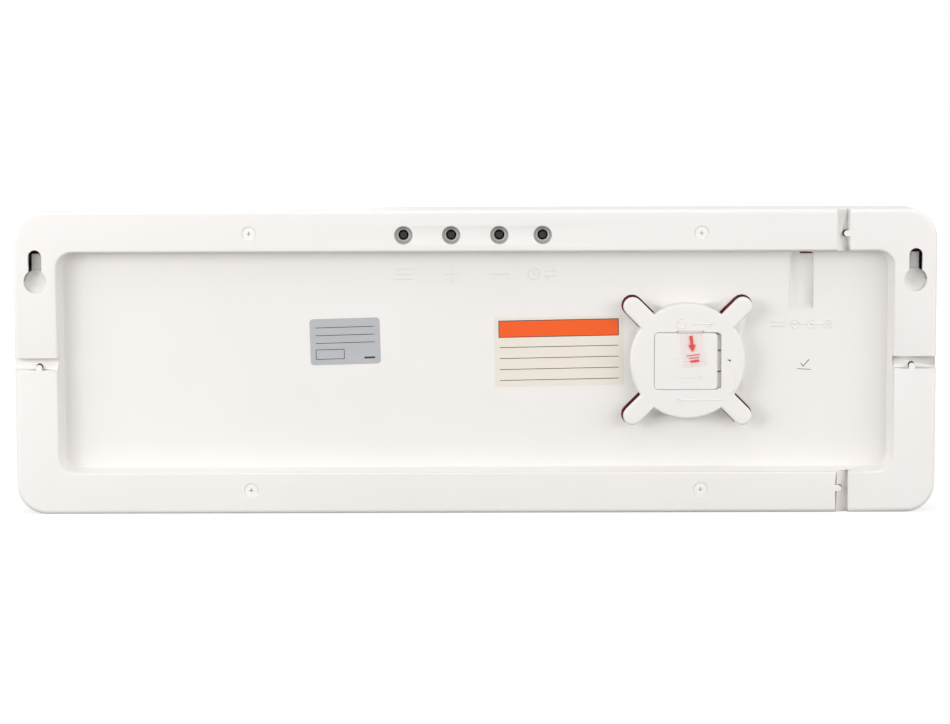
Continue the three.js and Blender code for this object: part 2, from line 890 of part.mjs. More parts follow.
// The socket looks down into the recess through a hole in its upper wall
function socketHole(diameter, zFrom, zTo) {
  return rod(0, 0, diameter, zFrom, zTo, 5).transform(new THREE.Matrix4().set(
    1, 0, 0, socketX,
    0, 0, -1, socketY,
    0, 1, 0, 0,
    0, 0, 0, 1,
  ).elements);
}

const armOutline = (grow) => ({
  x: (winderDiameter / 2 + armReach) / 2,
  z: 0,
  width: winderDiameter / 2 + armReach + 2 * grow,
  height: armWidth + 2 * grow,
  radius: armWidth / 2 + grow,
});

function turnedArm(solidAlongX, index) {
  const angle = (index + 0.5) * 2 * Math.PI / armCount;
  const matrix = new THREE.Matrix4().makeRotationY(-angle).setPosition(winderX, 0, middleZ);
  return solidAlongX.transform(matrix.elements);
}

const arms = Array.from({ length: armCount }, (_, index) => index);

const door = { x: winderX, z: middleZ, width: doorWidth, height: doorHeight, radius: doorCorner };

// Inside limits of the compartment, a ledge narrower than the door on three sides
const wellX = [winderX - doorWidth / 2, winderX + doorWidth / 2 - doorLedge];
const wellZ = [middleZ - doorHeight / 2 + doorLedge, middleZ + doorHeight / 2 - doorLedge];
const lugZ = sides.map((side) => middleZ + side * lugSpacing / 2);
const filmX = winderX - tabFilmShift;
const cradleDiameter = cellDiameter + 2 * cradleClearance;
const cradleTopY = wellFloorY + cradleHeight;
const slipY = [plateInnerY - coverGap - lugThickness, plateInnerY - coverGap];
const latchY = [slipY[1] - latchThickness, slipY[1]];
const drumBottomY = floorY - recessWall - overrun;

function addWinder(cover) {
  const slots = arms.map((index) => turnedArm(
    loft(armOutline(armSlotGap), between(drumBottomY, floorY + overrun), 4),
    index,
  ));
  const drum = loft(circle(winderX, middleZ, winderDiameter), [
    { y: floorY - fuse },
    ...quarterRound(winderFaceY, winderRound, 1, 0, 2),
  ], 10);
  const armBars = arms.map((index) => turnedArm(loft(armOutline(0), [
    { y: plateInnerY },
    ...quarterRound(winderFaceY, winderRound, 1, 0, 2),
  ], 4), index));
  const inside = rod(
    winderX,
    middleZ,
    winderDiameter - 2 * winderWall,
    drumBottomY,
    plateInnerY,
    7,
  );
  const well = block(
    [wellX[0] - wellWall, wellX[1] + doorLedge + wellWall],
    [wellFloorY - wellWall, plateInnerY + fuse],
    [wellZ[0] - doorLedge - wellWall, wellZ[1] + doorLedge + wellWall],
  );
  const cradle = cutBy(
    rod(winderX, middleZ, cradleDiameter + 2 * cradleWall, wellFloorY, cradleTopY, 5),
    [
      rod(winderX, middleZ, cradleDiameter, wellFloorY - overrun, cradleTopY + overrun, 5),
      block([winderX, winderX + doorWidth], [wellFloorY - overrun, plateInnerY], [
        middleZ - contactWidth,
        middleZ + contactWidth,
      ]),
    ],
  );
  const carried = cutBy(joined([cutBy(cover, slots), drum, ...armBars]), [inside]).add(well);
  const wellRoom = block(wellX, [wellFloorY, winderFaceY - coverSunk], wellZ);
  const hooks = lugZ.map((z) => block(
    [wellX[1] - overrun, wellX[1] + doorLedge + lugReach + 2 * coverGap],
    [ledgeY - lugThickness - overrun, plateInnerY],
    [z - lugWidth / 2 - coverGap, z + lugWidth / 2 + coverGap],
  ));
  const outX = [wellX[0] - wellWall - overrun, wellX[0] + overrun];
  const sillPath = block(outX, [slipY[0] - coverGap, plateInnerY], wellZ);
  const latchPath = block(outX, [latchY[0] - coverGap - latchFlex, plateInnerY], [
    middleZ - latchWidth / 2,
    middleZ + latchWidth / 2,
  ]);
  const filmNotch = block(
    [filmX - tabFilmWidth / 2 - tabFilmNotch, filmX + tabFilmWidth / 2 + tabFilmNotch],
    [ledgeY - winderWall, winderFaceY + overrun],
    [middleZ, middleZ + doorHeight / 2 + tabFilmNotch],
  );
  const latchRelease = rod(
    winderX - latchHolePlace,
    middleZ,
    latchHole,
    plateInnerY - overrun,
    winderFaceY + overrun,
    4,
  );
  const contactSlots = sides.map((side) => contactSlot(side));
  return cutBy(carried, [
    loft(door, [
      { y: ledgeY },
      { y: winderFaceY - doorChamfer },
      { y: winderFaceY + doorChamfer, inset: -2 * doorChamfer },
    ], 3),
    wellRoom,
    ...hooks,
    sillPath,
    latchPath,
    filmNotch,
    latchRelease,
  ]).add(cradle).subtract(joined(contactSlots));
}

// Slots in the compartment floor for the tails of the two cell contacts
const contactX = { 1: winderX + cellDiameter / 2 + clipStandoff, [-1]: winderX - springRoot };

function contactSlot(side) {
  const x = contactX[side];
  const half = contactSheet / 2 + coverGap;
  return block(
    [x - half, x + half],
    [wellFloorY - wellWall - overrun, wellFloorY + overrun],
    [middleZ - contactWidth / 2 - coverGap, middleZ + contactWidth / 2 + coverGap],
  );
}

function rearCover() {
  const shell = loft(caseOutline, [
    { y: seamY, inset: seamChamfer },
    { y: seamY + seamChamfer },
    ...quarterRound(backY, backRound, 1),
  ], 8);
  const room = loft(caseOutline, [
    { y: seamY - overrun, inset: caseWall },
    { y: rimInnerY - innerChamfer, inset: caseWall },
    { y: rimInnerY, inset: caseWall + innerChamfer },
  ], 5);
  const lip = loft(caseOutline, [
    { y: seamY - lipHeight, inset: caseWall + lipClearance },
    { y: seamY, inset: caseWall + lipClearance },
    { y: seamY, inset: caseWall - fuse },
    { y: seamY + lipHeight, inset: caseWall - fuse },
  ], 5);
  const lipRoom = loft(caseOutline, [
    { y: seamY - lipHeight - overrun, inset: caseWall + lipClearance + lipThickness },
    { y: seamY + lipHeight + overrun, inset: caseWall + lipClearance + lipThickness },
  ], 5);
  const pocket = plugPocket();
  const carried = [
    recessLoft(recessWall, floorY - recessWall, 4),
    ...grooves.map((groove) => placed(grooveGutter(groove), groove)),
    ...keyholes.map(keyholeHousing),
    ...caseScrewPlaces.map(({ x, z }) => rod(x, z, bossDiameter, seamY, backY - fuse)),
    ...Object.values(keyPlaces).map((x) =>
      rod(x, keyZ, keyHole + 2 * keyCollarWall, rimInnerY - keyCollarDepth, backY - fuse)),
    ...rimScrewPlaces.map(({ x, z }) => rod(x, z, smallPost, keyBoardY, backY - fuse)),
  ];
  const body = shell.subtract(cutBy(room, carried)).add(pocket.wall);
  const cuts = [
    recessLoft(0, floorY, 6),
    pocket.mouth,
    pocket.slot,
    socketHole(socketBarrel + 2 * coverGap, recessTopZ - 2 * recessDraft, rimBoardZ[0]),
    ...grooves.map((groove) => placed(grooveChannel(groove), groove)),
    ...grooves.map((groove) => placed(grooveHole(groove.tabSide), groove)),
    ...keyholes.map(keyholeCut),
    ...keyholes.map(keyholeFloorCut),
    ...Object.values(keyPlaces).map(keyFunnelCut),
    ...caseScrewPlaces.map(({ x, z }) => caseScrewCut(x, z)),
    ...rimScrewPlaces.map(({ x, z }) =>
      rod(
        x,
        z,
        smallScrewCore + 2 * screwGap,
        keyBoardY - overrun,
        keyBoardY + smallScrewLength,
      )),
  ];
  const tabs = grooves.map((groove) => placed(grooveTab(groove.tabSide), groove));
  return addWinder(joined([cutBy(body, cuts), ...tabs, lip.subtract(lipRoom)]));
}

function caseScrewCut(x, z) {
  const bore = (counterboreDish - caseScrewCore) / 2 - screwGap;
  const wide = (counterboreDish - counterbore) / 2;
  return loft(circle(x, z, counterboreDish), [
    { y: seamY - overrun, inset: bore },
    { y: caseScrewSeatY, inset: bore },
    { y: caseScrewSeatY, inset: wide },
    { y: backY - counterboreDishDepth, inset: wide },
    { y: backY },
    { y: backY + overrun },
  ], 4);
}

// Screws, made with the seat of the head at the origin and the head towards +Y

function screw(head, headHeight, core, length) {
  const profile = [
    new THREE.Vector2(0, -length),
    new THREE.Vector2(core / 2, -length + core * screwTip),
    new THREE.Vector2(core / 2, 0),
    new THREE.Vector2(head / 2, 0),
    new THREE.Vector2(head / 2, headHeight * screwHeadSide),
    new THREE.Vector2(head / 2 * screwHeadTop, headHeight),
    new THREE.Vector2(0, headHeight),
  ];
  return toSolid(new THREE.LatheGeometry(profile, 10));
}

function placedScrews(name, places, y, shape, turned = false) {
  return places.map(({ x, z }, index) => {
    const piece = mesh(`${name}_${index + 1}`, shape, 0xb9bbbd, 0.32, 0.9);
    piece.position.set(x, y, z);
    if (turned) piece.rotation.z = Math.PI;
    return piece;
  });
}

// Setting keys: a switch body with a bore, and the stem that travels in it

function switchBody() {
  const half = switchSize / 2;
  const body = block([-half, half], [0, switchBodyHeight], [-half, half]);
  const bore = rod(0, 0, keyStem + 2 * coverGap, switchBodyHeight - switchBoreDepth,
    switchBodyHeight + overrun);
  return body.subtract(bore);
}

function keyStemSolid() {
  const bottom = switchBodyHeight - switchBoreDepth + keyTravel + keySpare;
  return loft(circle(0, 0, keyStem), [
    { y: bottom },
    { y: switchHeight - keyTipRound },
    { y: switchHeight, inset: keyTipRound },
  ], 5);
}

function rimBoard([x0, x1], screwX) {
  const board = block([Math.min(x0, x1), Math.max(x0, x1)], [
    keyBoardY - keyBoardThickness,
    keyBoardY,
  ], rimBoardZ);
  const holes = screwX.map((x) => rod(x, rimBoardMiddleZ, smallScrewCore + 2 * screwGap,
    keyBoardY - keyBoardThickness - overrun, keyBoardY + overrun));
  return cutBy(board, holes);
}

// Power socket: a body on its board with a barrel that reaches through the recess wall

function powerSocket() {
  const bottomZ = rimBoardZ[0];
  const body = block(
    [socketX - socketWidth / 2, socketX + socketWidth / 2],
    [keyBoardY, keyBoardY + socketHeight],
    [bottomZ, bottomZ + socketLength],
  );
  const barrel = socketHole(socketBarrel, socketEndZ, bottomZ + fuse);
  const bore = socketHole(socketBore, socketEndZ - overrun, socketBoreEndZ);
  return body.add(barrel).subtract(bore);
}

const socketPin = () =>
  socketHole(socketPinDiameter, socketEndZ + socketPinSunk, socketBoreEndZ);

// Cover of the coin cell: on one side a latch tongue between two sills, on the other two lugs, all of
// which lie under the plate

function batteryCover() {
  const faceY = winderFaceY - coverSunk;
  const undersideY = faceY - coverThickness;
  const width = doorWidth - coverGap - (coverSlide + coverGap);
  const x = winderX + doorWidth / 2 - coverGap - width / 2;
  const edge = { minus: x - width / 2, plus: x + width / 2 };
  const plate = loft(
    { x, z: middleZ, width, height: doorHeight - 2 * coverGap, radius: doorCorner - coverGap },
    [{ y: undersideY }, ...quarterRound(faceY, coverRound, 1, 0, 2)],
    3,
  );
  const latchEnd = winderX - latchHolePlace - latchHole / 2;
  const halfLatch = (latchWidth - latchSlit) / 2;
  const latch = slipping(edge.minus, latchEnd, latchY, [middleZ - halfLatch, middleZ + halfLatch]);
  const sillEnd = winderX - doorWidth / 2 - sillReach;
  const sills = sides.map((side) => slipping(edge.minus, sillEnd, slipY, [
    middleZ + side * (latchWidth + latchSlit) / 2,
    middleZ + side * (doorHeight / 2 - doorLedge - coverGap),
  ].sort((low, high) => low - high)));
  const lugX = edge.plus - doorLedge - coverGap - lugRoot;
  const lugs = lugZ.map((z) => joined([
    block([lugX, lugX + lugRoot], [slipY[0], undersideY + fuse], [
      z - lugWidth / 2,
      z + lugWidth / 2,
    ]),
    block([lugX, edge.plus + coverGap + lugReach], slipY, [z - lugWidth / 2, z + lugWidth / 2]),
  ]));
  return joined([plate, latch, ...sills, ...lugs]);
}

// A lip at the cover's low-X edge: down from its underside, then out to where it slips under the plate
function slipping(edgeX, endX, y, z) {
  return joined([
    block([edgeX, edgeX + latchRoot], [y[0], ledgeY + coverRest + fuse], z),
    block([endX, edgeX + latchRoot], y, z),
  ]);
}

const coinCell = () => loft(circle(winderX, middleZ, cellDiameter), [
  { y: cellBackY, inset: cellCapInset + cellRound },
  { y: cellBackY + cellRound, inset: cellCapInset },
  { y: cellBackY + cellCapHeight, inset: cellRound },
  { y: cellBackY + cellThickness - cellRound },
  { y: cellBackY + cellThickness, inset: cellRound },
], 5);

// The clip stands beside the rim of the cell; its tail goes through the compartment floor
function positiveClip() {
  const x = contactX[1];
  const z = [middleZ - contactWidth / 2, middleZ + contactWidth / 2];
  const half = contactSheet / 2;
  const topY = cellBackY + cellThickness - contactSheet;
  const footY = wellFloorY + coverGap;
  return joined([
    block([x - half, x + half], [wellFloorY - wellWall - contactTail, topY], z),
    block([x - half, x + clipFoot], [topY - contactSheet, topY], z),
    block([x - half, x + clipFoot], [footY, footY + contactSheet], z),
  ]);
}

// The spring leaf rises from the floor to the middle of the cell
function negativeSpring() {
  const x = contactX[-1];
  const z = [middleZ - contactWidth / 2, middleZ + contactWidth / 2];
  const half = contactSheet / 2;
  const restY = wellFloorY + coverGap;
  const tip = x + springLength;
  const leaf = slab(polygon([
    [x - half, z[0]],
    [tip, z[0] + springTaper],
    [tip, z[1] - springTaper],
    [x - half, z[1]],
  ]), restY, restY + contactSheet);
  return joined([
    leaf,
    block([x - half, x + half], [wellFloorY - wellWall - contactTail, restY + contactSheet], z),
    block([tip - springTip, tip], [restY, cellBackY - coverRest], [
      z[0] + springTaper,
      z[1] - springTaper,
    ]),
  ]);
}

// The film lies on the cell, rises through a notch beside the cover and folds over the cover
function pullTab() {
  const half = tabFilmThickness / 2;
  const overY = winderFaceY + coverSunk + half;
  const cellTopY = cellBackY + cellThickness + tabFilmGap + half;
  const riseZ = middleZ + doorHeight / 2 + tabFilmGap;
  const inside = block(
    [filmX - tabFilmWidth / 2, filmX + tabFilmWidth / 2],
    [cellTopY - half, cellTopY + half],
    [riseZ - tabFilmUnder, riseZ + half],
  );
  const rise = block(
    [filmX - tabFilmWidth / 2, filmX + tabFilmWidth / 2],
    [cellTopY - half, overY + half],
    [riseZ - half, riseZ + half],
  );
  const over = slab(polygon([
    [filmX - tabFilmWidth / 2, riseZ + half],
    [filmX - tabFilmWidth / 2 - tabFilmLean, riseZ + tabFilmSkew - tabFilmLength],
    [filmX + tabFilmWidth / 2 - tabFilmLean, riseZ - tabFilmLength],
    [filmX + tabFilmWidth / 2, riseZ + half],
  ]), overY - half, overY + half);
  return joined([inside, rise, over]);
}

// Parts on the back of the display board

const boardX = ({ fromEnd }) => boardHalf.x - fromEnd;
const boardZ = ({ fromEdge }) => middleZ - boardHalf.z + fromEdge;

const chip = (place) => block(
  [boardX(place) - place.width / 2, boardX(place) + place.width / 2],
  [boardBackY, boardBackY + place.thickness],
  [boardZ(place) - place.height / 2, boardZ(place) + place.height / 2],
);

function crystalCan(place) {
  const can = rod(0, 0, crystalDiameter, 0, crystalLength, 3);
  return can.transform(new THREE.Matrix4().set(
    1, 0, 0, boardX(place),
    0, 0, 1, boardBackY + crystalDiameter / 2,
    0, -1, 0, boardZ(place),
    0, 0, 0, 1,
  ).elements);
}

function buzzer(place) {
  const [x, z, topY] = [boardX(place), boardZ(place), boardBackY + buzzerHeight];
  const can = rod(x, z, buzzerDiameter, boardBackY, topY, 4);
  return can.subtract(rod(x, z, buzzerPort, topY - buzzerPort / 2, topY + overrun));
}

function capacitor(place) {
  const topY = boardBackY + capacitorHeight;
  return loft(circle(boardX(place), boardZ(place), capacitorDiameter), [
    { y: boardBackY },
    { y: topY - capacitorRound },
    { y: topY, inset: capacitorRound },
  ], 3);
}

// Flat cables to the display board from the boards behind the rim and from the cell contacts
function rimCable(x, width) {
  const upperY = keyBoardY - keyBoardThickness - wireThickness / 2 - wireGap;
  const lowerY = boardBackY + wireThickness / 2 + wireGap;
  return strip([
    [upperY, rimBoardZ[0] + rimCableRoute.tail],
    [upperY, rimBoardZ[0]],
    [(upperY + lowerY) / 2, recessTopZ - rimCableRoute.middle],
    [lowerY, recessTopZ - rimCableRoute.foot],
    [lowerY, recessTopZ - rimCableRoute.end],
  ], wireThickness, x, width);
}

function cellCable() {
  const upperY = wellFloorY - wellWall - wireThickness / 2 - wireGap;
  const lowerY = boardBackY + wireThickness / 2 + wireGap;
  return strip([
    [upperY, middleZ - cellCableRoute.start],
    [upperY, middleZ - cellCableRoute.tail],
    [(upperY + lowerY) / 2, middleZ - cellCableRoute.middle],
    [lowerY, middleZ - cellCableRoute.foot],
    [lowerY, middleZ - cellCableRoute.end],
  ], wireThickness, winderX, cellWires.width);
}

// The clock, put together

const white = 0xf1efec;
const clock = new THREE.Group();

const frontHalf = new THREE.Group();
frontHalf.add(
  mesh('front_bezel', frontBezel(), white, 0.45),
  mesh('front_lens', frontLens(), 0x2a0d10, 0.08, 0, { transparent: true, opacity: 0.8 }),
  mesh('diffuser_film', diffuserFilm(), 0xd8d4d2, 0.7),
  mesh('segment_reflector', segmentReflector(), 0x1c1b1d, 0.6),
  mesh('display_board', displayBoard(), 0x8c1414, 0.5),
  mesh('clock_chip', chip(clockChip), 0x1b1b1d, 0.5),
  mesh('driver_chip', chip(driverChip), 0x1b1b1d, 0.5),
  mesh('crystal', crystalCan(crystalPlace), 0xc8c8cc, 0.3, 0.9),
  mesh('capacitor', capacitor(capacitorPlace), 0xb9b9bd, 0.35, 0.8),
  mesh('buzzer', buzzer(buzzerPlace), 0x161617, 0.5),
  ...placedScrews(
    'board_screw',
    boardScrewPlaces,
    boardBackY,
    screw(smallScrewHead, smallScrewHeadHeight, smallScrewCore, smallScrewLength),
  ),
);

const backHalf = new THREE.Group();
backHalf.add(
  mesh('rear_cover', rearCover(), white, 0.45),
  mesh('power_socket', powerSocket(), 0x141414, 0.45),
  mesh('socket_pin', socketPin(), 0xc9c4b8, 0.3, 0.9),
  mesh('socket_board', rimBoard(socketBoardX, socketScrewX), 0x8c1414, 0.5),
  mesh('socket_cable', rimCable(socketX + socketWires.shift, socketWires.width), 0x9a1b1b, 0.5),
  mesh('key_board', rimBoard(keyBoardEnds, keyBoardScrewX), 0x8c1414, 0.5),
  mesh('key_cable', rimCable(0, keyWires.width), 0xb8b6b2, 0.5),
  ...placedScrews(
    'rim_board_screw',
    rimScrewPlaces,
    keyBoardY - keyBoardThickness,
    screw(smallScrewHead, smallScrewHeadHeight, smallScrewCore, smallScrewLength),
    true,
  ),
  ...placedScrews(
    'case_screw',
    caseScrewPlaces,
    caseScrewSeatY,
    screw(caseScrewHead, caseScrewHeadHeight, caseScrewCore, caseScrewLength),
  ),
);
for (const [name, x] of Object.entries(keyPlaces)) {
  const stem = mesh(name, keyStemSolid(), 0x1a1918, 0.5);
  const body = mesh(`${name}_switch`, switchBody(), 0x26262a, 0.45);
  const key = new THREE.Group();
  key.position.set(x, keyBoardY, keyZ);
  key.add(stem, body);
  backHalf.add(key);
}

const cellCompartment = new THREE.Group();
cellCompartment.add(
  mesh('battery_cover', batteryCover(), white, 0.45),
  mesh('coin_cell', coinCell(), 0xcfd0d2, 0.28, 0.95),
  mesh('cell_positive_clip', positiveClip(), 0xd0cfc8, 0.3, 0.95),
  mesh('cell_negative_spring', negativeSpring(), 0xd0cfc8, 0.3, 0.95),
  mesh('cell_pull_tab', pullTab(), 0xf2dcd8, 0.35),
  mesh('cell_cable', cellCable(), 0x9a1b1b, 0.5),
);
backHalf.add(cellCompartment);
clock.add(frontHalf, backHalf);

export default clock;
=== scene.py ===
"""A large white digital clock for wall or table, shown from its recessed back.

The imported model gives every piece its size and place. This file gives the pieces their finishes and
adds the fine work: smooth and drafted mouldings, sloped floors in the cable grooves and keyholes,
moulded signs, bare labels, the printed pull film, and the case screws' threads and cross recesses.

Lengths are in metres. +Z is up, the display looks towards -Y and the back towards +Y. A person who
looks at the back has -X on the right, so drawings on the back use u towards -X and v towards +Z.
"""

import json
import math

import bmesh
import bpy
from bpy.props import FloatProperty, FloatVectorProperty, PointerProperty
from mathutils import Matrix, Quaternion, Vector
from mathutils.bvhtree import BVHTree


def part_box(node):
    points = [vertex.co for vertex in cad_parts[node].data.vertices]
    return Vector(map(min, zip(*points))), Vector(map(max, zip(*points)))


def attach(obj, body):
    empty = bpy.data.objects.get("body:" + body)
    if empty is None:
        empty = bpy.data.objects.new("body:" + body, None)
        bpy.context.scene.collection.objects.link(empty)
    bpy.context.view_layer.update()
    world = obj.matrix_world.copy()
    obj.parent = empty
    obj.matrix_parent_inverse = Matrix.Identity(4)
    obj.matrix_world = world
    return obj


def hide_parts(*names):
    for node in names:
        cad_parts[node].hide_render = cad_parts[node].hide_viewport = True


bl_info = {
    "name": "Digital clock finishes",
    "version": (1, 0, 0),
    "blender": (4, 5, 0),
    "location": "3D View > Sidebar > Clock",
    "description": "Finishes and fine detail for a digital clock with a recessed back",
    "category": "Object",
}

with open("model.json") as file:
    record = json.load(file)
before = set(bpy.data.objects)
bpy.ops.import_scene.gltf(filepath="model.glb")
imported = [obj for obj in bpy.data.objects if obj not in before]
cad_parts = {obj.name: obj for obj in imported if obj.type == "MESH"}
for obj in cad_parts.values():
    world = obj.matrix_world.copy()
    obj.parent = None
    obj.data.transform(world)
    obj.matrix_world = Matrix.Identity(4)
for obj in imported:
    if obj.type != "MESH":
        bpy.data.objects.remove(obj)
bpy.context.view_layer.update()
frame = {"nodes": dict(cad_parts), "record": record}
BODIES = frame["record"]["behaviour"]["bodies"]
SLOTS = {part["node"]: part["material_slot"] for part in frame["record"]["subparts"]}
MM = 0.001

# Faces within FLAT of each other count as one plane, and a point within NEAR of a place as there

FLAT = math.radians(0.3)
NEAR = 0.04 * MM


def body_of(node):
    return next(body for body, nodes in BODIES.items() if node in nodes)


def centre(node):
    low, high = (Vector(corner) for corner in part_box(node))
    return (low + high) / 2


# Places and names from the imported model

CASE_LOW, CASE_HIGH = (Vector(corner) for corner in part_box("rear_cover"))
RIM_Y = CASE_HIGH.y
MIDDLE_Z = (CASE_LOW.z + CASE_HIGH.z) / 2
DOOR = centre("battery_cover")
KEYS = ("key_menu", "key_plus", "key_minus", "key_mode")
CASE_SCREWS = tuple(f"case_screw_{number}" for number in range(1, 5))
INNER_SCREWS = tuple(
    f"{kind}_{number}" for kind in ("board_screw", "rim_board_screw") for number in range(1, 5)
)
DRUM = Vector((DOOR.x, 0, MIDDLE_Z))

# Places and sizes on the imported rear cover, where its copy takes finer shapes: the winder drum, the
# release hole, a keyhole's round end, the grooves with the edge their floors rise from, the recess

DRUM_RADIUS = 26.6 * MM
DRUM_Y = 13 * MM
FLOOR_Y = 4.5 * MM
RELEASE_HOLE = Vector((-116.4 * MM, 0, MIDDLE_Z))
RELEASE_HOLE_RADIUS = 1.0 * MM
KEYHOLE = Vector((201.5 * MM, 9 * MM, 107.6 * MM))
KEYHOLE_RADIUS = 5.25 * MM
GROOVE_Y = 10.4 * MM
GROOVE_FLOOR = 5.2 * MM
SIDE_GROOVE_TOP = 72.4 * MM
TOP_GROOVE_X = -170.6 * MM
BOTTOM_GROOVE_X = -171.6 * MM
RECESS_HALF = Vector((191.39 * MM, 0, 50.49 * MM))
RIM_WIDTH = 20.1 * MM
WALL_DRAFT = 0.114


def srgb(red, green, blue):
    """A colour given from 0 to 255, in the linear values that shaders take."""
    def channel(value):
        value /= 255
        return value / 12.92 if value <= 0.04045 else ((value + 0.055) / 1.055) ** 2.4
    return tuple(channel(value) for value in (red, green, blue))


def length(name, description, default):
    return FloatProperty(name=name, description=description, default=default, unit="LENGTH",
                         subtype="DISTANCE", precision=5)


def color(name, description, default):
    return FloatVectorProperty(name=name, description=description, default=default, size=3,
                               min=0, max=1, subtype="COLOR")


def angle(name, description, degrees):
    return FloatProperty(name=name, description=description, default=math.radians(degrees),
                         subtype="ANGLE", unit="ROTATION")


def number(name, description, default):
    return FloatProperty(name=name, description=description, default=default)


class ClockShell(bpy.types.PropertyGroup):
    white: color("White", "Colour of the moulded case", srgb(231, 228, 225))
    roughness: number("Roughness", "How matt the moulded case is", 0.38)
    edge: length("Edge round", "Radius that softens the moulded edges", 0.35 * MM)
    grain: length("Grain", "Height of the fine mould texture", 0.004 * MM)
    smooth: angle("Smooth angle", "Facets that meet at less than this angle look round", 32)
    # Painted shade: the key wells are white moulding, drawn grey for the shade in them, the cones
    # darker than the step inside.
    well: color("Key well", "Colour of the cones round the keys", srgb(156, 152, 148))
    land: color("Key land", "Colour of the flat step inside each cone", srgb(214, 211, 208))
    well_radius: length("Well radius", "Of the cone round a key, at the rim", 4.35 * MM)
    land_radius: length("Land radius", "Of the flat step inside the cone", 3.15 * MM)
    drum_draft: length("Drum draft", "How much wider the winder drum is at its foot", 1.1 * MM)
    foot_clear: number("Foot clearance", "Degrees from an arm within which the foot stays", 12)
    foot_blend: number("Foot blend", "Degrees over which the drum's foot widens after that", 9)
    groove_rise: length("Groove rise", "How far a groove's floor rises across it", 3.9 * MM)
    bottom_drop: number("Bottom drop", "Share of its rise that the bottom groove loses", 0.5)
    ramp_rise: length("Keyhole slope", "How far the floor of a keyhole's round end rises", 5.0 * MM)
    ramp_turn: angle("Keyhole slope turn", "How far below the inner side that floor is highest", 60)
    mouth_bore: length("Release bore", "Radius of the release hole's open bore", 0.45 * MM)
    mouth_shift: FloatVectorProperty(
        name="Release bore shift", description="X and Z of the bore from the hole's axis", size=2,
        default=(-0.36 * MM, 0.3 * MM), subtype="XYZ", unit="LENGTH")
    cover_grow: length("Cover growth", "How far the cell cover fills its gap all round", 0.17 * MM)


class ClockKeys(bpy.types.PropertyGroup):
    stem: color("Stem", "Colour of the key stems", srgb(26, 24, 22))
    stem_round: length("Stem round", "Rounding of a stem's outer edge", 0.35 * MM)
    dish: length("Stem dish", "Depth of the hollow in a stem's end", 0.12 * MM)


class ClockScrews(bpy.types.PropertyGroup):
    steel: color("Steel", "Colour of the plated screws", srgb(226, 225, 223))
    # The case screws' heads are drawn as near-white plastic: a painted reflection standing in for
    # plated steel that mirrors the white surroundings.
    head_painted_reflection: color("Coat", "Colour of the white-coated heads of the case screws", srgb(237, 234, 230))
    head_grow: number("Head growth", "How much wider a case screw's head is than its solid", 1.225)
    head_round: length("Head round", "Rounding of a head's edge", 0.12 * MM)
    recess_width: length("Recess width", "Width of the cross recess", 0.65 * MM)
    recess_span: length("Recess span", "Span of the cross recess", 2.6 * MM)
    recess_depth: length("Recess depth", "Depth of the cross recess", 1.0 * MM)
    thread_pitch: length("Thread pitch", "Distance between two crests", 1.1 * MM)


class ClockMarks(bpy.types.PropertyGroup):
    stroke: length("Stroke", "Width of a moulded line", 0.9 * MM)
    fine_stroke: length("Fine stroke", "Width of a fine moulded line", 0.55 * MM)
    height: length("Height", "How far a moulded line stands out", 0.3 * MM)
    row_drop: length("Row drop", "From the keys down to the signs", 18.5 * MM)
    sign: length("Sign size", "Height of the plus sign", 8.6 * MM)
    plus_width: length("Plus width", "Width of the plus sign", 5.4 * MM)


class ClockLabels(bpy.types.PropertyGroup):
    paper: length("Paper", "Thickness of a label", 0.09 * MM)
    print: length("Print", "Thickness of a printed area", 0.015 * MM)
    silver_size: FloatVectorProperty(
        name="Silver size", description="Width and height of the silver label", size=2,
        default=(32.4 * MM, 21.4 * MM), subtype="XYZ", unit="LENGTH")
    silver_place: FloatVectorProperty(
        name="Silver place", description="X and Z of the silver label's middle", size=2,
        default=(60.2 * MM, 78.8 * MM), subtype="XYZ", unit="LENGTH")
    silver_tilt: angle("Silver tilt", "How far the silver label's right end is raised", 1.6)
    silver: color("Silver", "Colour of the silver label", srgb(174, 176, 179))
    cream_size: FloatVectorProperty(
        name="Cream size", description="Width and height of the cream label", size=2,
        default=(59.5 * MM, 32.0 * MM), subtype="XYZ", unit="LENGTH")
    cream_place: FloatVectorProperty(
        name="Cream place", description="X and Z of the cream label's middle", size=2,
        default=(-38.6 * MM, 74.0 * MM), subtype="XYZ", unit="LENGTH")
    cream_tilt: angle("Cream tilt", "How far the cream label's right end is raised", 1.05)
    cream: color("Cream", "Colour of the cream label", srgb(226, 218, 207))
    orange: color("Orange", "Colour of the label's band", srgb(233, 86, 1))
    ink: color("Ink", "Colour of the printed lines", srgb(38, 34, 34))


class ClockFilm(bpy.types.PropertyGroup):
    tint: color("Film tint", "Colour of the pull film", srgb(250, 186, 184))
    opacity: number("Opacity", "Share of the light that one face of the film stops", 0.045)
    red: color("Print", "Colour of the film's arrow", srgb(226, 62, 52))
    fold: length("Fold", "Radius of the film's fold", 0.5 * MM)
    fold_rise: length("Fold rise", "How far the fold bulges into its notch", 0.3 * MM)
    fold_spread: length("Fold spread", "How far the fold widens on each side", 0.6 * MM)
    # The fold's pale opaque colour is partly the crease's own colour and partly painted light, which
    # fills the shade in the fold and its notch.
    fold_crease_and_light: color("Fold tint", "Colour of the creased fold", srgb(236, 229, 225))
    lift: length("Lift", "How far the film's free end stands off the cover", 0.35 * MM)


class ClockDisplay(bpy.types.PropertyGroup):
    lens: color("Lens", "Colour of the tinted lens", srgb(96, 18, 22))
    board: color("Board", "Colour of the boards' solder resist", srgb(150, 20, 20))


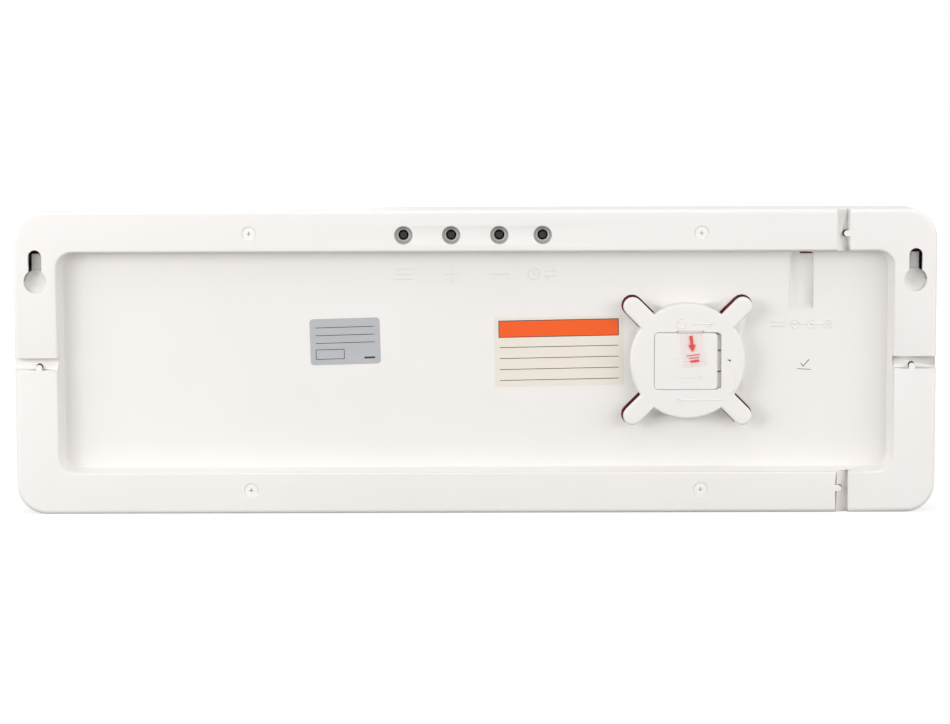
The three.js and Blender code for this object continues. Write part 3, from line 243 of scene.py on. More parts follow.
class ClockStage(bpy.types.PropertyGroup):
    distance: length("Camera distance", "From the camera to the clock's middle", 1.4)
    elevation: angle("Camera elevation", "How far the camera looks down", 6.3)
    focal: number("Focal length", "Of the camera's lens, in millimetres on a 36 mm sensor", 114.4)
    aim: length("Camera aim", "How far under the clock's middle the camera aims", 1.45 * MM)
    roll: angle("Camera roll", "How far the camera is turned clockwise", -0.15)
    side: length("Camera side", "How far the camera stands left of the middle", 0.25 * MM)
    left_power: number("Left lamp", "Power of the lamp on the viewer's left, watts", 2.94)
    left_side_power: number("Left side lamp", "Power of the lamp far to the left, watts", 3.11)
    right_power: number("Right lamp", "Power of the lamp on the viewer's right, watts", 3.32)
    right_side_power: number("Right side lamp", "Power of the lamp far to the right, watts", 3.22)
    top_power: number("Top lamp", "Power of the lamp over the clock, watts", 2.3)
    front_power: number("Front lamp", "Power of the lamp before the display, watts", 10.0)
    sky: number("Sky", "Strength of the even light from all round", 0.722)
    floor_glow: number("Floor glow", "What the camera adds to the floor beside the clock", 0.7)
    floor_grey: number("Floor grey", "How much light the floor sends back", 0.35)


GROUPS = {
    "clock_shell": ClockShell,
    "clock_keys": ClockKeys,
    "clock_screws": ClockScrews,
    "clock_marks": ClockMarks,
    "clock_labels": ClockLabels,
    "clock_film": ClockFilm,
    "clock_display": ClockDisplay,
    "clock_stage": ClockStage,
}


# Materials

def finish(name, base, roughness, **sockets):
    """A material with its plain values set on the shader's own sockets."""
    material = bpy.data.materials.new(name)
    material.use_nodes = True
    shader = material.node_tree.nodes["Principled BSDF"]
    shader.inputs["Base Color"].default_value = (*base, 1)
    shader.inputs["Roughness"].default_value = roughness
    for socket, value in sockets.items():
        shader.inputs[socket.replace("_", " ")].default_value = value
    material.diffuse_color = (*base, 1)
    return material


def add_node(material, kind, **settings):
    node = material.node_tree.nodes.new(kind)
    for key, value in settings.items():
        setattr(node, key, value)
    return node


def noise(material, scale, detail=3.0, stretch=(1, 1, 1)):
    """Noise in the clock's own metres: scale counts features per metre."""
    links = material.node_tree.links
    where = add_node(material, "ShaderNodeTexCoord")
    mapping = add_node(material, "ShaderNodeMapping")
    mapping.inputs["Scale"].default_value = stretch
    texture = add_node(material, "ShaderNodeTexNoise")
    texture.inputs["Scale"].default_value = scale
    texture.inputs["Detail"].default_value = detail
    links.new(where.outputs["Object"], mapping.inputs["Vector"])
    links.new(mapping.outputs["Vector"], texture.inputs["Vector"])
    return texture.outputs["Fac"]


def vary_color(material, fac, base, spread):
    """The base colour drifts between a little darker and a little lighter."""
    ramp = add_node(material, "ShaderNodeValToRGB")
    ramp.color_ramp.elements[0].position = 0.3
    ramp.color_ramp.elements[1].position = 0.7
    ramp.color_ramp.elements[0].color = (*(max(value * (1 - spread), 0) for value in base), 1)
    ramp.color_ramp.elements[1].color = (*(min(value * (1 + spread), 1) for value in base), 1)
    links, shader = material.node_tree.links, material.node_tree.nodes["Principled BSDF"]
    links.new(fac, ramp.inputs["Fac"])
    links.new(ramp.outputs["Color"], shader.inputs["Base Color"])


def vary_roughness(material, fac, low, high):
    """The gloss drifts between two values."""
    spread = add_node(material, "ShaderNodeMapRange")
    spread.inputs["To Min"].default_value = low
    spread.inputs["To Max"].default_value = high
    links, shader = material.node_tree.links, material.node_tree.nodes["Principled BSDF"]
    links.new(fac, spread.inputs["Value"])
    links.new(spread.outputs["Result"], shader.inputs["Roughness"])


def relief(material, fac, height, edge=0.0):
    """A fine bump, over edges that look rounded by the given radius."""
    links, shader = material.node_tree.links, material.node_tree.nodes["Principled BSDF"]
    bump = add_node(material, "ShaderNodeBump")
    bump.inputs["Strength"].default_value = 1
    bump.inputs["Distance"].default_value = height
    links.new(fac, bump.inputs["Height"])
    if edge:
        rounding = add_node(material, "ShaderNodeBevel", samples=6)
        rounding.inputs["Radius"].default_value = edge
        links.new(rounding.outputs["Normal"], bump.inputs["Normal"])
    links.new(bump.outputs["Normal"], shader.inputs["Normal"])


def moulded_plastic(name, base, roughness, edge=0.0, grain=0.004 * MM, drift=0.012):
    """Injection-moulded plastic: a fine grain, a slow drift of tone and slightly uneven gloss."""
    material = finish(name, base, roughness, Specular_IOR_Level=0.45)
    vary_color(material, noise(material, scale=14, detail=2), base, drift)
    gloss = noise(material, scale=60, detail=3)
    vary_roughness(material, gloss, roughness - 0.05, roughness + 0.06)
    relief(material, noise(material, scale=5200, detail=2), grain, edge)
    return material


def plated_metal(name, base, roughness, stretch=(1, 1, 1)):
    """Plated metal with fine rubbing marks."""
    material = finish(name, base, roughness, Metallic=1.0)
    marks = noise(material, scale=2400, detail=4, stretch=stretch)
    vary_roughness(material, marks, roughness - 0.06, roughness + 0.12)
    vary_color(material, noise(material, scale=300, detail=3), base, spread=0.06)
    relief(material, marks, height=0.003 * MM)
    return material


def circuit_resist(name, base):
    """Solder resist over copper tracks: the tracks show as slightly raised, lighter lines."""
    material = finish(name, base, roughness=0.35, Coat_Weight=0.4, Coat_Roughness=0.15)
    where = add_node(material, "ShaderNodeTexCoord")
    tracks = add_node(material, "ShaderNodeTexBrick", offset=0.37)
    tracks.inputs["Scale"].default_value = 90
    tracks.inputs["Mortar Size"].default_value = 0.035
    tracks.inputs["Color1"].default_value = (*base, 1)
    tracks.inputs["Color2"].default_value = (*(value * 0.9 for value in base), 1)
    tracks.inputs["Mortar"].default_value = (*(min(value * 1.5, 1) for value in base), 1)
    turn = add_node(material, "ShaderNodeMapping")
    turn.inputs["Rotation"].default_value = (math.pi / 2, 0, 0)
    links = material.node_tree.links
    links.new(where.outputs["Object"], turn.inputs["Vector"])
    links.new(turn.outputs["Vector"], tracks.inputs["Vector"])
    shader = material.node_tree.nodes["Principled BSDF"]
    links.new(tracks.outputs["Color"], shader.inputs["Base Color"])
    relief(material, tracks.outputs["Fac"], height=0.02 * MM)
    return material


def paint(piece, *materials):
    piece.data.materials.clear()
    for material in materials:
        piece.data.materials.append(material)


def paint_node(node, material):
    """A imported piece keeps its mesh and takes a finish."""
    piece = frame["nodes"][node]
    for slot in piece.material_slots:
        slot.material = material


# Geometry

def settle(name, mesh, body, slot, *materials):
    """A finished mesh becomes a piece that rides on a body."""
    piece = bpy.data.objects.new(name, mesh)
    bpy.context.collection.objects.link(piece)
    paint(piece, *materials)
    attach(piece, body)
    return piece


def smooth_copy(node, name, smooth_angle, *materials, reshape=None):
    """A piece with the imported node's own shape, its facets blended into round surfaces.

    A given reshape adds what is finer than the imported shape.
    """
    mesh = frame["nodes"][node].data.copy()
    shape = bmesh.new()
    shape.from_mesh(mesh)
    bmesh.ops.remove_doubles(shape, verts=shape.verts, dist=1e-6)
    if reshape:
        reshape(shape)
    shape.to_mesh(mesh)
    shape.free()
    mesh.shade_smooth()
    mesh.set_sharp_from_angle(angle=smooth_angle)
    piece = settle(name, mesh, body_of(node), SLOTS[node], *materials)
    weights = piece.modifiers.new("area_weighted", "WEIGHTED_NORMAL")
    weights.weight = 90
    weights.keep_sharp = True
    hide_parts(node)
    return piece


def turned(profile, middle, segments=48):
    """A mesh turned about an axis along Y, from (radius, y) pairs that end on the axis or meet."""
    shape = bmesh.new()
    rings = []
    for radius, y in profile:
        if radius == 0:
            rings.append([shape.verts.new((middle.x, y, middle.z))])
            continue
        rings.append([
            shape.verts.new((
                middle.x + radius * math.cos(2 * math.pi * step / segments),
                y,
                middle.z + radius * math.sin(2 * math.pi * step / segments),
            ))
            for step in range(segments)
        ])
    for low, high in zip(rings, rings[1:]):
        for step in range(segments):
            after = (step + 1) % segments
            corners = [low[step % len(low)], high[step % len(high)],
                       high[after % len(high)], low[after % len(low)]]
            shape.faces.new(list(dict.fromkeys(corners)))
    bmesh.ops.remove_doubles(shape, verts=shape.verts, dist=1e-7)
    bmesh.ops.recalc_face_normals(shape, faces=shape.faces)
    mesh = bpy.data.meshes.new("turned")
    shape.to_mesh(mesh)
    shape.free()
    mesh.shade_smooth()
    mesh.set_sharp_from_angle(angle=math.radians(40))
    return mesh


def rounded_edge(radius, y, rounding, steps):
    """Points (radius, y) round an outer edge, from its side to its flat end."""
    turns = (step / steps * math.pi / 2 for step in range(steps + 1))
    return [
        (radius - rounding * (1 - math.cos(turn)), y - rounding * (1 - math.sin(turn)))
        for turn in turns
    ]


def skin_of(*nodes):
    """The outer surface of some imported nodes, for laying things on it."""
    shape = bmesh.new()
    for node in nodes:
        shape.from_mesh(frame["nodes"][node].data)
    tree = BVHTree.FromBMesh(shape)
    shape.free()
    return tree


BACK_SKIN = skin_of("rear_cover", "battery_cover")


def skin_y(x, z):
    """Y of the back's outer surface at one place."""
    start = Vector((x, RIM_Y + 0.05, z))
    return BACK_SKIN.ray_cast(start, Vector((0, -1, 0)))[0].y


def outline(width, height, radius, steps=8):
    """Points (u, v) of a rounded rectangle round its middle."""
    points = []
    for quarter, (su, sv) in enumerate(((1, 1), (-1, 1), (-1, -1), (1, -1))):
        for step in range(steps + 1):
            turn = (quarter + step / steps) * math.pi / 2
            points.append((
                su * (width / 2 - radius) + radius * math.cos(turn),
                sv * (height / 2 - radius) + radius * math.sin(turn),
            ))
    return points


class Drawing:
    """A flat drawing on the back: u runs to the viewer's right, v up. Tilt raises its right end."""

    def __init__(self, x, z, tilt=0.0, y=None):
        self.x, self.z, self.tilt = x, z, tilt
        self.y = skin_y(x, z) if y is None else y

    def place(self, u, v, out=0.0):
        cos, sin = math.cos(self.tilt), math.sin(self.tilt)
        return Vector((self.x - u * cos + v * sin, self.y + out, self.z + u * sin + v * cos))


def sheet(drawing, points, low, high):
    """A flat plate over a drawing's surface between two heights."""
    shape = bmesh.new()
    base = [shape.verts.new(drawing.place(u, v, low)) for u, v in points]
    top = [shape.verts.new(drawing.place(u, v, high)) for u, v in points]
    shape.faces.new(base)
    shape.faces.new(top)
    for k, (a, b) in enumerate(zip(base, top)):
        after = (k + 1) % len(base)
        shape.faces.new((a, base[after], top[after], b))
    bmesh.ops.recalc_face_normals(shape, faces=shape.faces)
    mesh = bpy.data.meshes.new("sheet")
    shape.to_mesh(mesh)
    shape.free()
    return mesh


def merged(name, meshes):
    shape = bmesh.new()
    for mesh in meshes:
        shape.from_mesh(mesh)
    mesh = bpy.data.meshes.new(name)
    shape.to_mesh(mesh)
    shape.free()
    return mesh


def bar(u0, v0, u1, v1, width):
    """The four corners of a straight printed line."""
    along = Vector((u1 - u0, v1 - v0)).normalized() * width / 2
    across = Vector((-along.y, along.x))
    return [
        (u0 - across.x, v0 - across.y),
        (u1 - across.x, v1 - across.y),
        (u1 + across.x, v1 + across.y),
        (u0 + across.x, v0 + across.y),
    ]


def raised_line(drawing, points, width, height, closed=False):
    """A moulded line with a round back that stands out of the surface by the height."""
    curve = bpy.data.curves.new("line", "CURVE")
    curve.dimensions = "3D"
    curve.bevel_depth = width / 2
    curve.bevel_resolution = 3
    curve.use_fill_caps = True
    spline = curve.splines.new("POLY")
    spline.points.add(len(points) - 1)
    spline.use_cyclic_u = closed
    for point, (u, v) in zip(spline.points, points):
        point.co = (*drawing.place(u, v, height - width / 2), 1)
    holder = bpy.data.objects.new("line", curve)
    mesh = bpy.data.meshes.new_from_object(holder)
    bpy.data.objects.remove(holder)
    bpy.data.curves.remove(curve)
    mesh.shade_smooth()
    return mesh


def arc(middle_u, middle_v, radius, start, end, steps=20):
    """Points (u, v) of an arc between two angles in degrees."""
    return [
        (
            middle_u + radius * math.cos(math.radians(start + (end - start) * step / steps)),
            middle_v + radius * math.sin(math.radians(start + (end - start) * step / steps)),
        )
        for step in range(steps + 1)
    ]


def arrow(tail, tip):
    """The two strokes of an arrow along u: its shaft and its open head."""
    back, half = tip - 1.9 * MM, 1.3 * MM
    return [[(tail, 0), (tip, 0)], [(back, half), (tip, 0), (back, -half)]]


# A ring's line ends this many degrees round, short of its own start
RING_END = 342


# Operators

class CLOCK_OT_shells(bpy.types.Operator):
    """Give the rear cover, front bezel and cell cover their moulded white finish"""
    bl_idname = "clock.shells"
    bl_label = "Moulded case"

    def execute(self, context):
        shell = context.scene.clock_shell
        white = moulded_plastic(
            "moulded_white", shell.white, shell.roughness, shell.edge, shell.grain)
        fine = {"edge": 0.05 * MM, "grain": shell.grain}
        # Painted shade for the white key wells: a dark grey for the cones, a lighter grey for the
        # step.
        well = moulded_plastic("key_well_painted_shade", shell.well, roughness=0.3, **fine)
        land = moulded_plastic("key_land_painted_shade", shell.land, roughness=0.35, **fine)
        smooth_copy("front_bezel", "front_bezel_moulding", shell.smooth, white)
        smooth_copy("battery_cover", "battery_cover_moulding", shell.smooth, white,
                    reshape=lambda shape: self.widen_cover(shell, shape))
        cover = smooth_copy("rear_cover", "rear_cover_moulding", shell.smooth, white, well, land,
                            reshape=lambda shape: self.draft_cover(shell, shape))
        self.shade_wells(shell, cover.data)
        for side, end in ((1, "left"), (-1, "right")):
            settle(f"keyhole_ramp_{end}", self.ramp(shell, side), "case",
                   SLOTS["rear_cover"], white)
        settle("release_hole_mouth", self.hole_mouth(shell), "case", SLOTS["rear_cover"], white)
        return {"FINISHED"}

    def widen_cover(self, shell, shape):
        """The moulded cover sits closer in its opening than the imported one."""
        low, high = (Vector(corner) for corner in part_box("battery_cover"))
        for vert in shape.verts:
            for axis in (0, 2):
                middle, half = (low[axis] + high[axis]) / 2, (high[axis] - low[axis]) / 2
                vert.co[axis] += shell.cover_grow * (vert.co[axis] - middle) / half

    def draft_cover(self, shell, shape):
        """Merge the drum's flat face, spread its foot and ramp the four grooves' floors."""
        edges = [edge for edge in shape.edges if all(
            abs(vert.co.y - DRUM_Y) < NEAR
            and math.hypot(vert.co.x - DRUM.x, vert.co.z - DRUM.z) < DRUM_RADIUS + NEAR
            for vert in edge.verts)]
        verts = list({vert for edge in edges for vert in edge.verts})
        bmesh.ops.dissolve_limit(shape, angle_limit=FLAT, verts=verts, edges=edges)
        for vert in shape.verts:
            away = Vector((vert.co.x - DRUM.x, vert.co.z - DRUM.z))
            if abs(away.length - DRUM_RADIUS) < NEAR and abs(vert.co.y - FLOOR_Y) < NEAR:
                self.spread_foot(shell, vert.co, away)
            elif abs(vert.co.y - GROOVE_Y) < NEAR:
                self.ramp_groove(shell, vert.co)

    def spread_foot(self, shell, point, away):
        """Move a point of the drum's foot outward, but not at the slots under the four arms."""
        from_arm = abs(math.degrees(math.atan2(away.y, away.x)) % 90 - 45)
        share = min(max((from_arm - shell.foot_clear) / shell.foot_blend, 0), 1)
        shift = away.normalized() * shell.drum_draft * share
        point.x += shift.x
        point.z += shift.y

    def ramp_groove(self, shell, point):
        """Raise a point of a groove's floor. At the recess wall it keeps to the wall's draft."""
        out_x, out_z = abs(point.x) - RECESS_HALF.x, abs(point.z - MIDDLE_Z) - RECESS_HALF.z
        at_side, at_bottom = out_x > -NEAR, point.z < MIDDLE_Z - RECESS_HALF.z + NEAR
        if at_side:
            along, across = out_x, SIDE_GROOVE_TOP - point.z
        else:
            along, across = out_z, point.x - (BOTTOM_GROOVE_X if at_bottom else TOP_GROOVE_X)
        drop = shell.bottom_drop if at_bottom else 1
        rise = shell.groove_rise * across / GROOVE_FLOOR * (1 - drop * along / RIM_WIDTH)
        if along < NEAR and at_side:
            point.x += math.copysign(WALL_DRAFT * rise, point.x)
        elif along < NEAR:
            point.z += math.copysign(WALL_DRAFT * rise, point.z - MIDDLE_Z)
        point.y += rise

    def ramp(self, shell, side):
        """The sloped floor of a keyhole's round end, as the shading there suggests."""
        middle = Vector((side * KEYHOLE.x, KEYHOLE.y, KEYHOLE.z))
        base, thickness = middle.y + 0.15 * MM, 0.1 * MM
        rings, crease = 10, math.radians(70)
        outward_power, lean_power = 1.4, 1.6
        profile = [(0, base - thickness), (KEYHOLE_RADIUS, base - thickness)]
        profile += [(KEYHOLE_RADIUS * ring / rings, base) for ring in range(rings, -1, -1)]
        mesh = turned(profile, middle, segments=60)
        for vert in mesh.vertices:
            if vert.co.y > base - thickness / 2:
                x, z = side * (middle.x - vert.co.x), vert.co.z - middle.z
                lean = (1 + math.cos(math.atan2(z, x) + shell.ramp_turn)) / 2
                share = math.hypot(x, z) / KEYHOLE_RADIUS
                vert.co.y += shell.ramp_rise * share ** outward_power * lean ** lean_power
        mesh.update()
        mesh.set_sharp_from_angle(angle=crease)
        return mesh

    def hole_mouth(self, shell):
        """A slanted lead-in to the latch's release hole, whose bore stays open for a pin."""
        outer, bore = RELEASE_HOLE_RADIUS, shell.mouth_bore
        lip, step, foot = DRUM_Y - 0.05 * MM, DRUM_Y - 0.35 * MM, DRUM_Y - 0.9 * MM
        profile = [(outer, foot), (bore, foot), (bore, step), (outer, lip), (outer, foot)]
        mesh = turned(profile, RELEASE_HOLE, segments=32)
        shift = Vector((shell.mouth_shift[0], 0, shell.mouth_shift[1]))
        for vert in mesh.vertices:
            away = math.hypot(vert.co.x - RELEASE_HOLE.x, vert.co.z - RELEASE_HOLE.z)
            if away < (outer + bore) / 2:
                vert.co += shift
        mesh.update()
        return mesh

    def shade_wells(self, shell, mesh):
        """Paint shade on the cones round the keys and a lighter shade on the step inside them: the
        white moulding drawn grey where the wells lie in shade.
        """
        axes = [centre(key) for key in KEYS]
        under_rim = RIM_Y - 0.1 * MM
        for face in mesh.polygons:
            if face.center.y > under_rim:
                continue
            away = min(math.hypot(face.center.x - axis.x, face.center.z - axis.z) for axis in axes)
            if away < shell.land_radius:
                face.material_index = 2
            elif away < shell.well_radius:
                face.material_index = 1


class CLOCK_OT_keys(bpy.types.Operator):
    """Give each setting key a turned stem and its switch a dark body"""
    bl_idname = "clock.keys"
    bl_label = "Setting keys"

    def execute(self, context):
        keys = context.scene.clock_keys
        stem = moulded_plastic("key_stem", keys.stem, roughness=0.42, drift=0.05)
        switch = moulded_plastic("switch_body", srgb(34, 34, 36), roughness=0.5, drift=0.05)
        for key in KEYS:
            low, high = (Vector(corner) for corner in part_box(key))
            middle = (low + high) / 2
            radius = (high.x - low.x) / 2
            profile = [(0, low.y), (radius, low.y)]
            profile += rounded_edge(radius, high.y, keys.stem_round, steps=6)
            profile += [(radius * 0.5, high.y - keys.dish * 0.7), (0, high.y - keys.dish)]
            piece = settle(f"{key}_stem", turned(profile, middle), key, SLOTS[key], stem)
            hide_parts(key)
            paint_node(f"{key}_switch", switch)
        return {"FINISHED"}


class CLOCK_OT_screws(bpy.types.Operator):
    """Make the four case screws with cross recesses and threads, and plate the inner screws"""
    bl_idname = "clock.screws"
    bl_label = "Screws"

    def execute(self, context):
        screws = context.scene.clock_screws
        steel = plated_metal("screw_steel", screws.steel, roughness=0.34)
        # Painted reflection: the case screws' heads take a near-white plastic finish in place of
        # bright plated steel.
        reflection_white = moulded_plastic("screw_head_painted_reflection", screws.head_painted_reflection, roughness=0.3, edge=0.08 * MM)
        for node in CASE_SCREWS:
            mesh = self.screw(screws, node)
            piece = settle(f"{node}_body", mesh, body_of(node), SLOTS[node], reflection_white)
            self.cut_recess(screws, piece, centre(node))
            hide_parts(node)
        for node in INNER_SCREWS:
            paint_node(node, steel)
        return {"FINISHED"}

    def screw(self, screws, node):
        """A screw turned round its own axis, from its tip over the thread to the flat head."""
        low, high = (Vector(corner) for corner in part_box(node))
        head = (high.x - low.x) / 2 * screws.head_grow
        head_height, tip, plain_end = 1.9 * MM, 1.5 * MM, 2 * MM
        crest = 1.2 * MM
        core = crest * 0.8
        seat = high.y - head_height
        profile = [(0, low.y), (0.25 * MM, low.y + 0.1 * MM)]
        pitch = screws.thread_pitch
        rise, fall = pitch * 0.35, pitch * 0.7
        turns = int((seat - low.y - plain_end) / pitch)
        for turn in range(turns):
            y = low.y + tip + turn * pitch
            profile += [(core, y), (crest, y + rise), (core, y + fall)]
        profile += [(core, seat), (head, seat)]
        profile += rounded_edge(head, high.y, screws.head_round, steps=5)
        profile.append((0, high.y))
        return turned(profile, (low + high) / 2, segments=40)

    def cut_recess(self, screws, piece, middle):
        """A tapered cross, cut into the head. The cutter ends above the rim."""
        above = RIM_Y + 1 * MM
        bottom_share, top_share, width_share = 0.45, 1.3, 1.2
        half = screws.recess_span / 2
        width = screws.recess_width / 2
        head_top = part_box(CASE_SCREWS[0])[1][1]
        shape = bmesh.new()
        for turn in (0, math.pi / 2):
            corners = []
            for y, share in ((head_top - screws.recess_depth, bottom_share), (above, top_share)):
                for su, sv in ((1, 1), (-1, 1), (-1, -1), (1, -1)):
                    u, v = su * half * share, sv * width * min(share * width_share, 1)
                    corners.append(shape.verts.new((
                        middle.x + u * math.cos(turn) - v * math.sin(turn),
                        y,
                        middle.z + u * math.sin(turn) + v * math.cos(turn),
                    )))
            low, high = corners[:4], corners[4:]
            shape.faces.new(low)
            shape.faces.new(high)
            for k in range(4):
                shape.faces.new((low[k], low[(k + 1) % 4], high[(k + 1) % 4], high[k]))
        bmesh.ops.recalc_face_normals(shape, faces=shape.faces)
        mesh = bpy.data.meshes.new("cross")
        shape.to_mesh(mesh)
        shape.free()
        cutter = bpy.data.objects.new("cross", mesh)
        bpy.context.collection.objects.link(cutter)
        cut = piece.modifiers.new("cross", "BOOLEAN")
        cut.object = cutter
        cut.use_self = True
        depsgraph = bpy.context.evaluated_depsgraph_get()
        result = bpy.data.meshes.new_from_object(piece.evaluated_get(depsgraph))
        piece.modifiers.clear()
        piece.data = result
        bpy.data.objects.remove(cutter)


class CLOCK_OT_socket(bpy.types.Operator):
    """Dress the power socket and its pin"""
    bl_idname = "clock.socket"
    bl_label = "Power socket"

    def execute(self, context):
        shell = context.scene.clock_shell
        black = moulded_plastic(
            "socket_black", srgb(24, 24, 25), roughness=0.45, edge=0.15 * MM, drift=0.05)
        smooth_copy("power_socket", "power_socket_body", shell.smooth, black)
        metal = plated_metal("socket_pin_metal", srgb(206, 200, 186), roughness=0.28)
        paint_node("socket_pin", metal)
        return {"FINISHED"}


class CLOCK_OT_display(bpy.types.Operator):
    """Dress the lens, film and reflector of the display, and the three boards"""
    bl_idname = "clock.display"
    bl_label = "Display"

    def execute(self, context):
        display = context.scene.clock_display
        lens = finish("tinted_lens", display.lens, roughness=0.05, Transmission_Weight=0.92,
                      IOR=1.49, Coat_Weight=0.3, Coat_Roughness=0.03)
        vary_roughness(lens, noise(lens, scale=40, detail=2), low=0.03, high=0.08)
        paint_node("front_lens", lens)
        film = finish("diffuser_film", srgb(222, 218, 216), roughness=0.6, Transmission_Weight=0.6)
        relief(film, noise(film, scale=3000, detail=2), height=0.01 * MM)
        paint_node("diffuser_film", film)
        paint_node("segment_reflector",
                   moulded_plastic("reflector_black", srgb(30, 28, 30), roughness=0.55, drift=0.05))
        resist = circuit_resist("board_resist", display.board)
        for node in ("display_board", "socket_board", "key_board"):
            paint_node(node, resist)
        return {"FINISHED"}


class CLOCK_OT_electronics(bpy.types.Operator):
    """Dress the chips, buzzer, cans and cables inside the case"""
    bl_idname = "clock.electronics"
    bl_label = "Electronics"

    def execute(self, context):
        epoxy = moulded_plastic("chip_epoxy", srgb(34, 34, 36), roughness=0.6, drift=0.08)
        can = plated_metal("drawn_can", srgb(196, 197, 200), roughness=0.35, stretch=(1, 0.1, 1))
        red_wire = moulded_plastic("red_wire", srgb(160, 24, 24), roughness=0.45, drift=0.04)
        grey_wire = moulded_plastic("grey_wire", srgb(182, 180, 176), roughness=0.5, drift=0.04)
        finishes = {
            "clock_chip": epoxy, "driver_chip": epoxy, "buzzer": epoxy,
            "crystal": can, "capacitor": can,
            "socket_cable": red_wire, "cell_cable": red_wire, "key_cable": grey_wire,
        }
        for node, material in finishes.items():
            paint_node(node, material)
        return {"FINISHED"}


class CLOCK_OT_cell(bpy.types.Operator):
    """Dress the coin cell and its contacts, and fold the printed pull film over the cover"""
    bl_idname = "clock.cell"
    bl_label = "Cell and pull film"

    def execute(self, context):
        film = context.scene.clock_film
        steel = plated_metal("cell_steel", srgb(212, 212, 210), roughness=0.25)
        for node in ("coin_cell", "cell_positive_clip", "cell_negative_spring"):
            paint_node(node, steel)
        clear = finish("clear_film", film.tint, roughness=0.18, Alpha=film.opacity,
                       Specular_IOR_Level=0.3)
        vary_roughness(clear, noise(clear, scale=500, detail=2), low=0.12, high=0.28)
        clear.surface_render_method = "BLENDED"
        # Opaque pale fold: the crease's colour with painted light over the shade in its notch.
        crease_and_light = finish("film_crease_and_painted_light", film.fold_crease_and_light, roughness=0.35)
        vary_color(crease_and_light, noise(crease_and_light, scale=900, detail=2), film.fold_crease_and_light, spread=0.04)
        red = finish("film_print", film.red, roughness=0.4)
        vary_color(red, noise(red, scale=900, detail=2), film.red, spread=0.05)
        mesh, over = self.film_mesh(film)
        piece = settle("cell_pull_film", mesh, "case", SLOTS["cell_pull_tab"], clear, crease_and_light)
        fold_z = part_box("cell_pull_tab")[1][2] - film.fold
        for face in mesh.polygons:
            face.material_index = int(face.center.z > fold_z)
        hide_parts("cell_pull_tab")
        settle("pull_film_print", self.print_mesh(over), "case", SLOTS["cell_pull_tab"], red)
        return {"FINISHED"}

    def film_mesh(self, film):
        """The film comes out beside the cover, folds back and lies over it."""
        low, high = (Vector(corner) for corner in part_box("cell_pull_tab"))
        lean, print_tilt = 2.2 * MM, math.radians(7)
        width = high.x - low.x - lean
        outer_y = high.y
        thickness = 0.15 * MM
        inside = 8 * MM
        crown_height, end_slant = 0.06 * MM, 1.2 * MM
        bends, stations, across = 8, 12, 8
        fold = film.fold
        crest = high.z + film.fold_rise
        path = [(low.y + thickness, high.z - inside), (low.y + thickness, high.z - fold)]
        corner = fold * 0.3
        path.append((low.y + thickness + corner, crest - corner))
        bend = len(path)
        for step in range(bends + 1):
            turn = step / bends * math.pi / 2
            path.append((
                outer_y - fold * (1 - math.sin(turn)),
                crest - fold * (1 - math.cos(turn)),
            ))
        start = len(path)
        for step in range(1, stations + 1):
            share = step / stations
            path.append((outer_y + film.lift * share ** 2, crest - fold
                         - (crest - fold - low.z) * share))
        shape = bmesh.new()
        rows = []
        for index, (y, z) in enumerate(path):
            share = max(0, index - start + 1) / stations
            shift = -lean * share
            spread = film.fold_spread if bend <= index < start else 0
            row = []
            for k in range(across + 1):
                x = high.x + spread - (width + 2 * spread) * k / across + shift
                crown = crown_height * math.sin(math.pi * k / across) * share
                slant = end_slant * (k / across) * share
                row.append(shape.verts.new((x, y + crown, z + slant)))
            rows.append(row)
        for a, b in zip(rows, rows[1:]):
            for k in range(across):
                shape.faces.new((a[k], a[k + 1], b[k + 1], b[k]))
        bmesh.ops.recalc_face_normals(shape, faces=shape.faces)
        bmesh.ops.solidify(shape, geom=shape.faces[:], thickness=thickness)
        mesh = bpy.data.meshes.new("film")
        shape.to_mesh(mesh)
        shape.free()
        mesh.shade_smooth()
        over = Drawing((low.x + high.x + lean) / 2, high.z - fold, print_tilt,
                       y=outer_y + thickness)
        return mesh, over

    def print_mesh(self, over):
        """An arrow and three short bars, printed on the film."""
        outline_mm = [(-0.7, -1.2), (0.7, -1.2), (0.6, -5.4), (1.75, -5.4), (0.1, -8.8),
                      (-1.75, -5.4), (-0.6, -5.4)]
        rows = [(-3.0, -10.2, 3.0, -10.2, 0.4), (-2.0, -11.5, 2.6, -11.5, 0.4),
                (-1.6, -13.0, 2.4, -13.0, 1.0)]
        ink, arrow_out, bars_out = 0.02 * MM, 0.03 * MM, 0.14 * MM
        points = [(u * MM, v * MM) for u, v in reversed(outline_mm)]
        layers = [sheet(over, points, arrow_out, arrow_out + ink)]
        layers += [
            sheet(over, bar(*(value * MM for value in row)), bars_out, bars_out + ink)
            for row in rows
        ]
        return merged("film_print", layers)


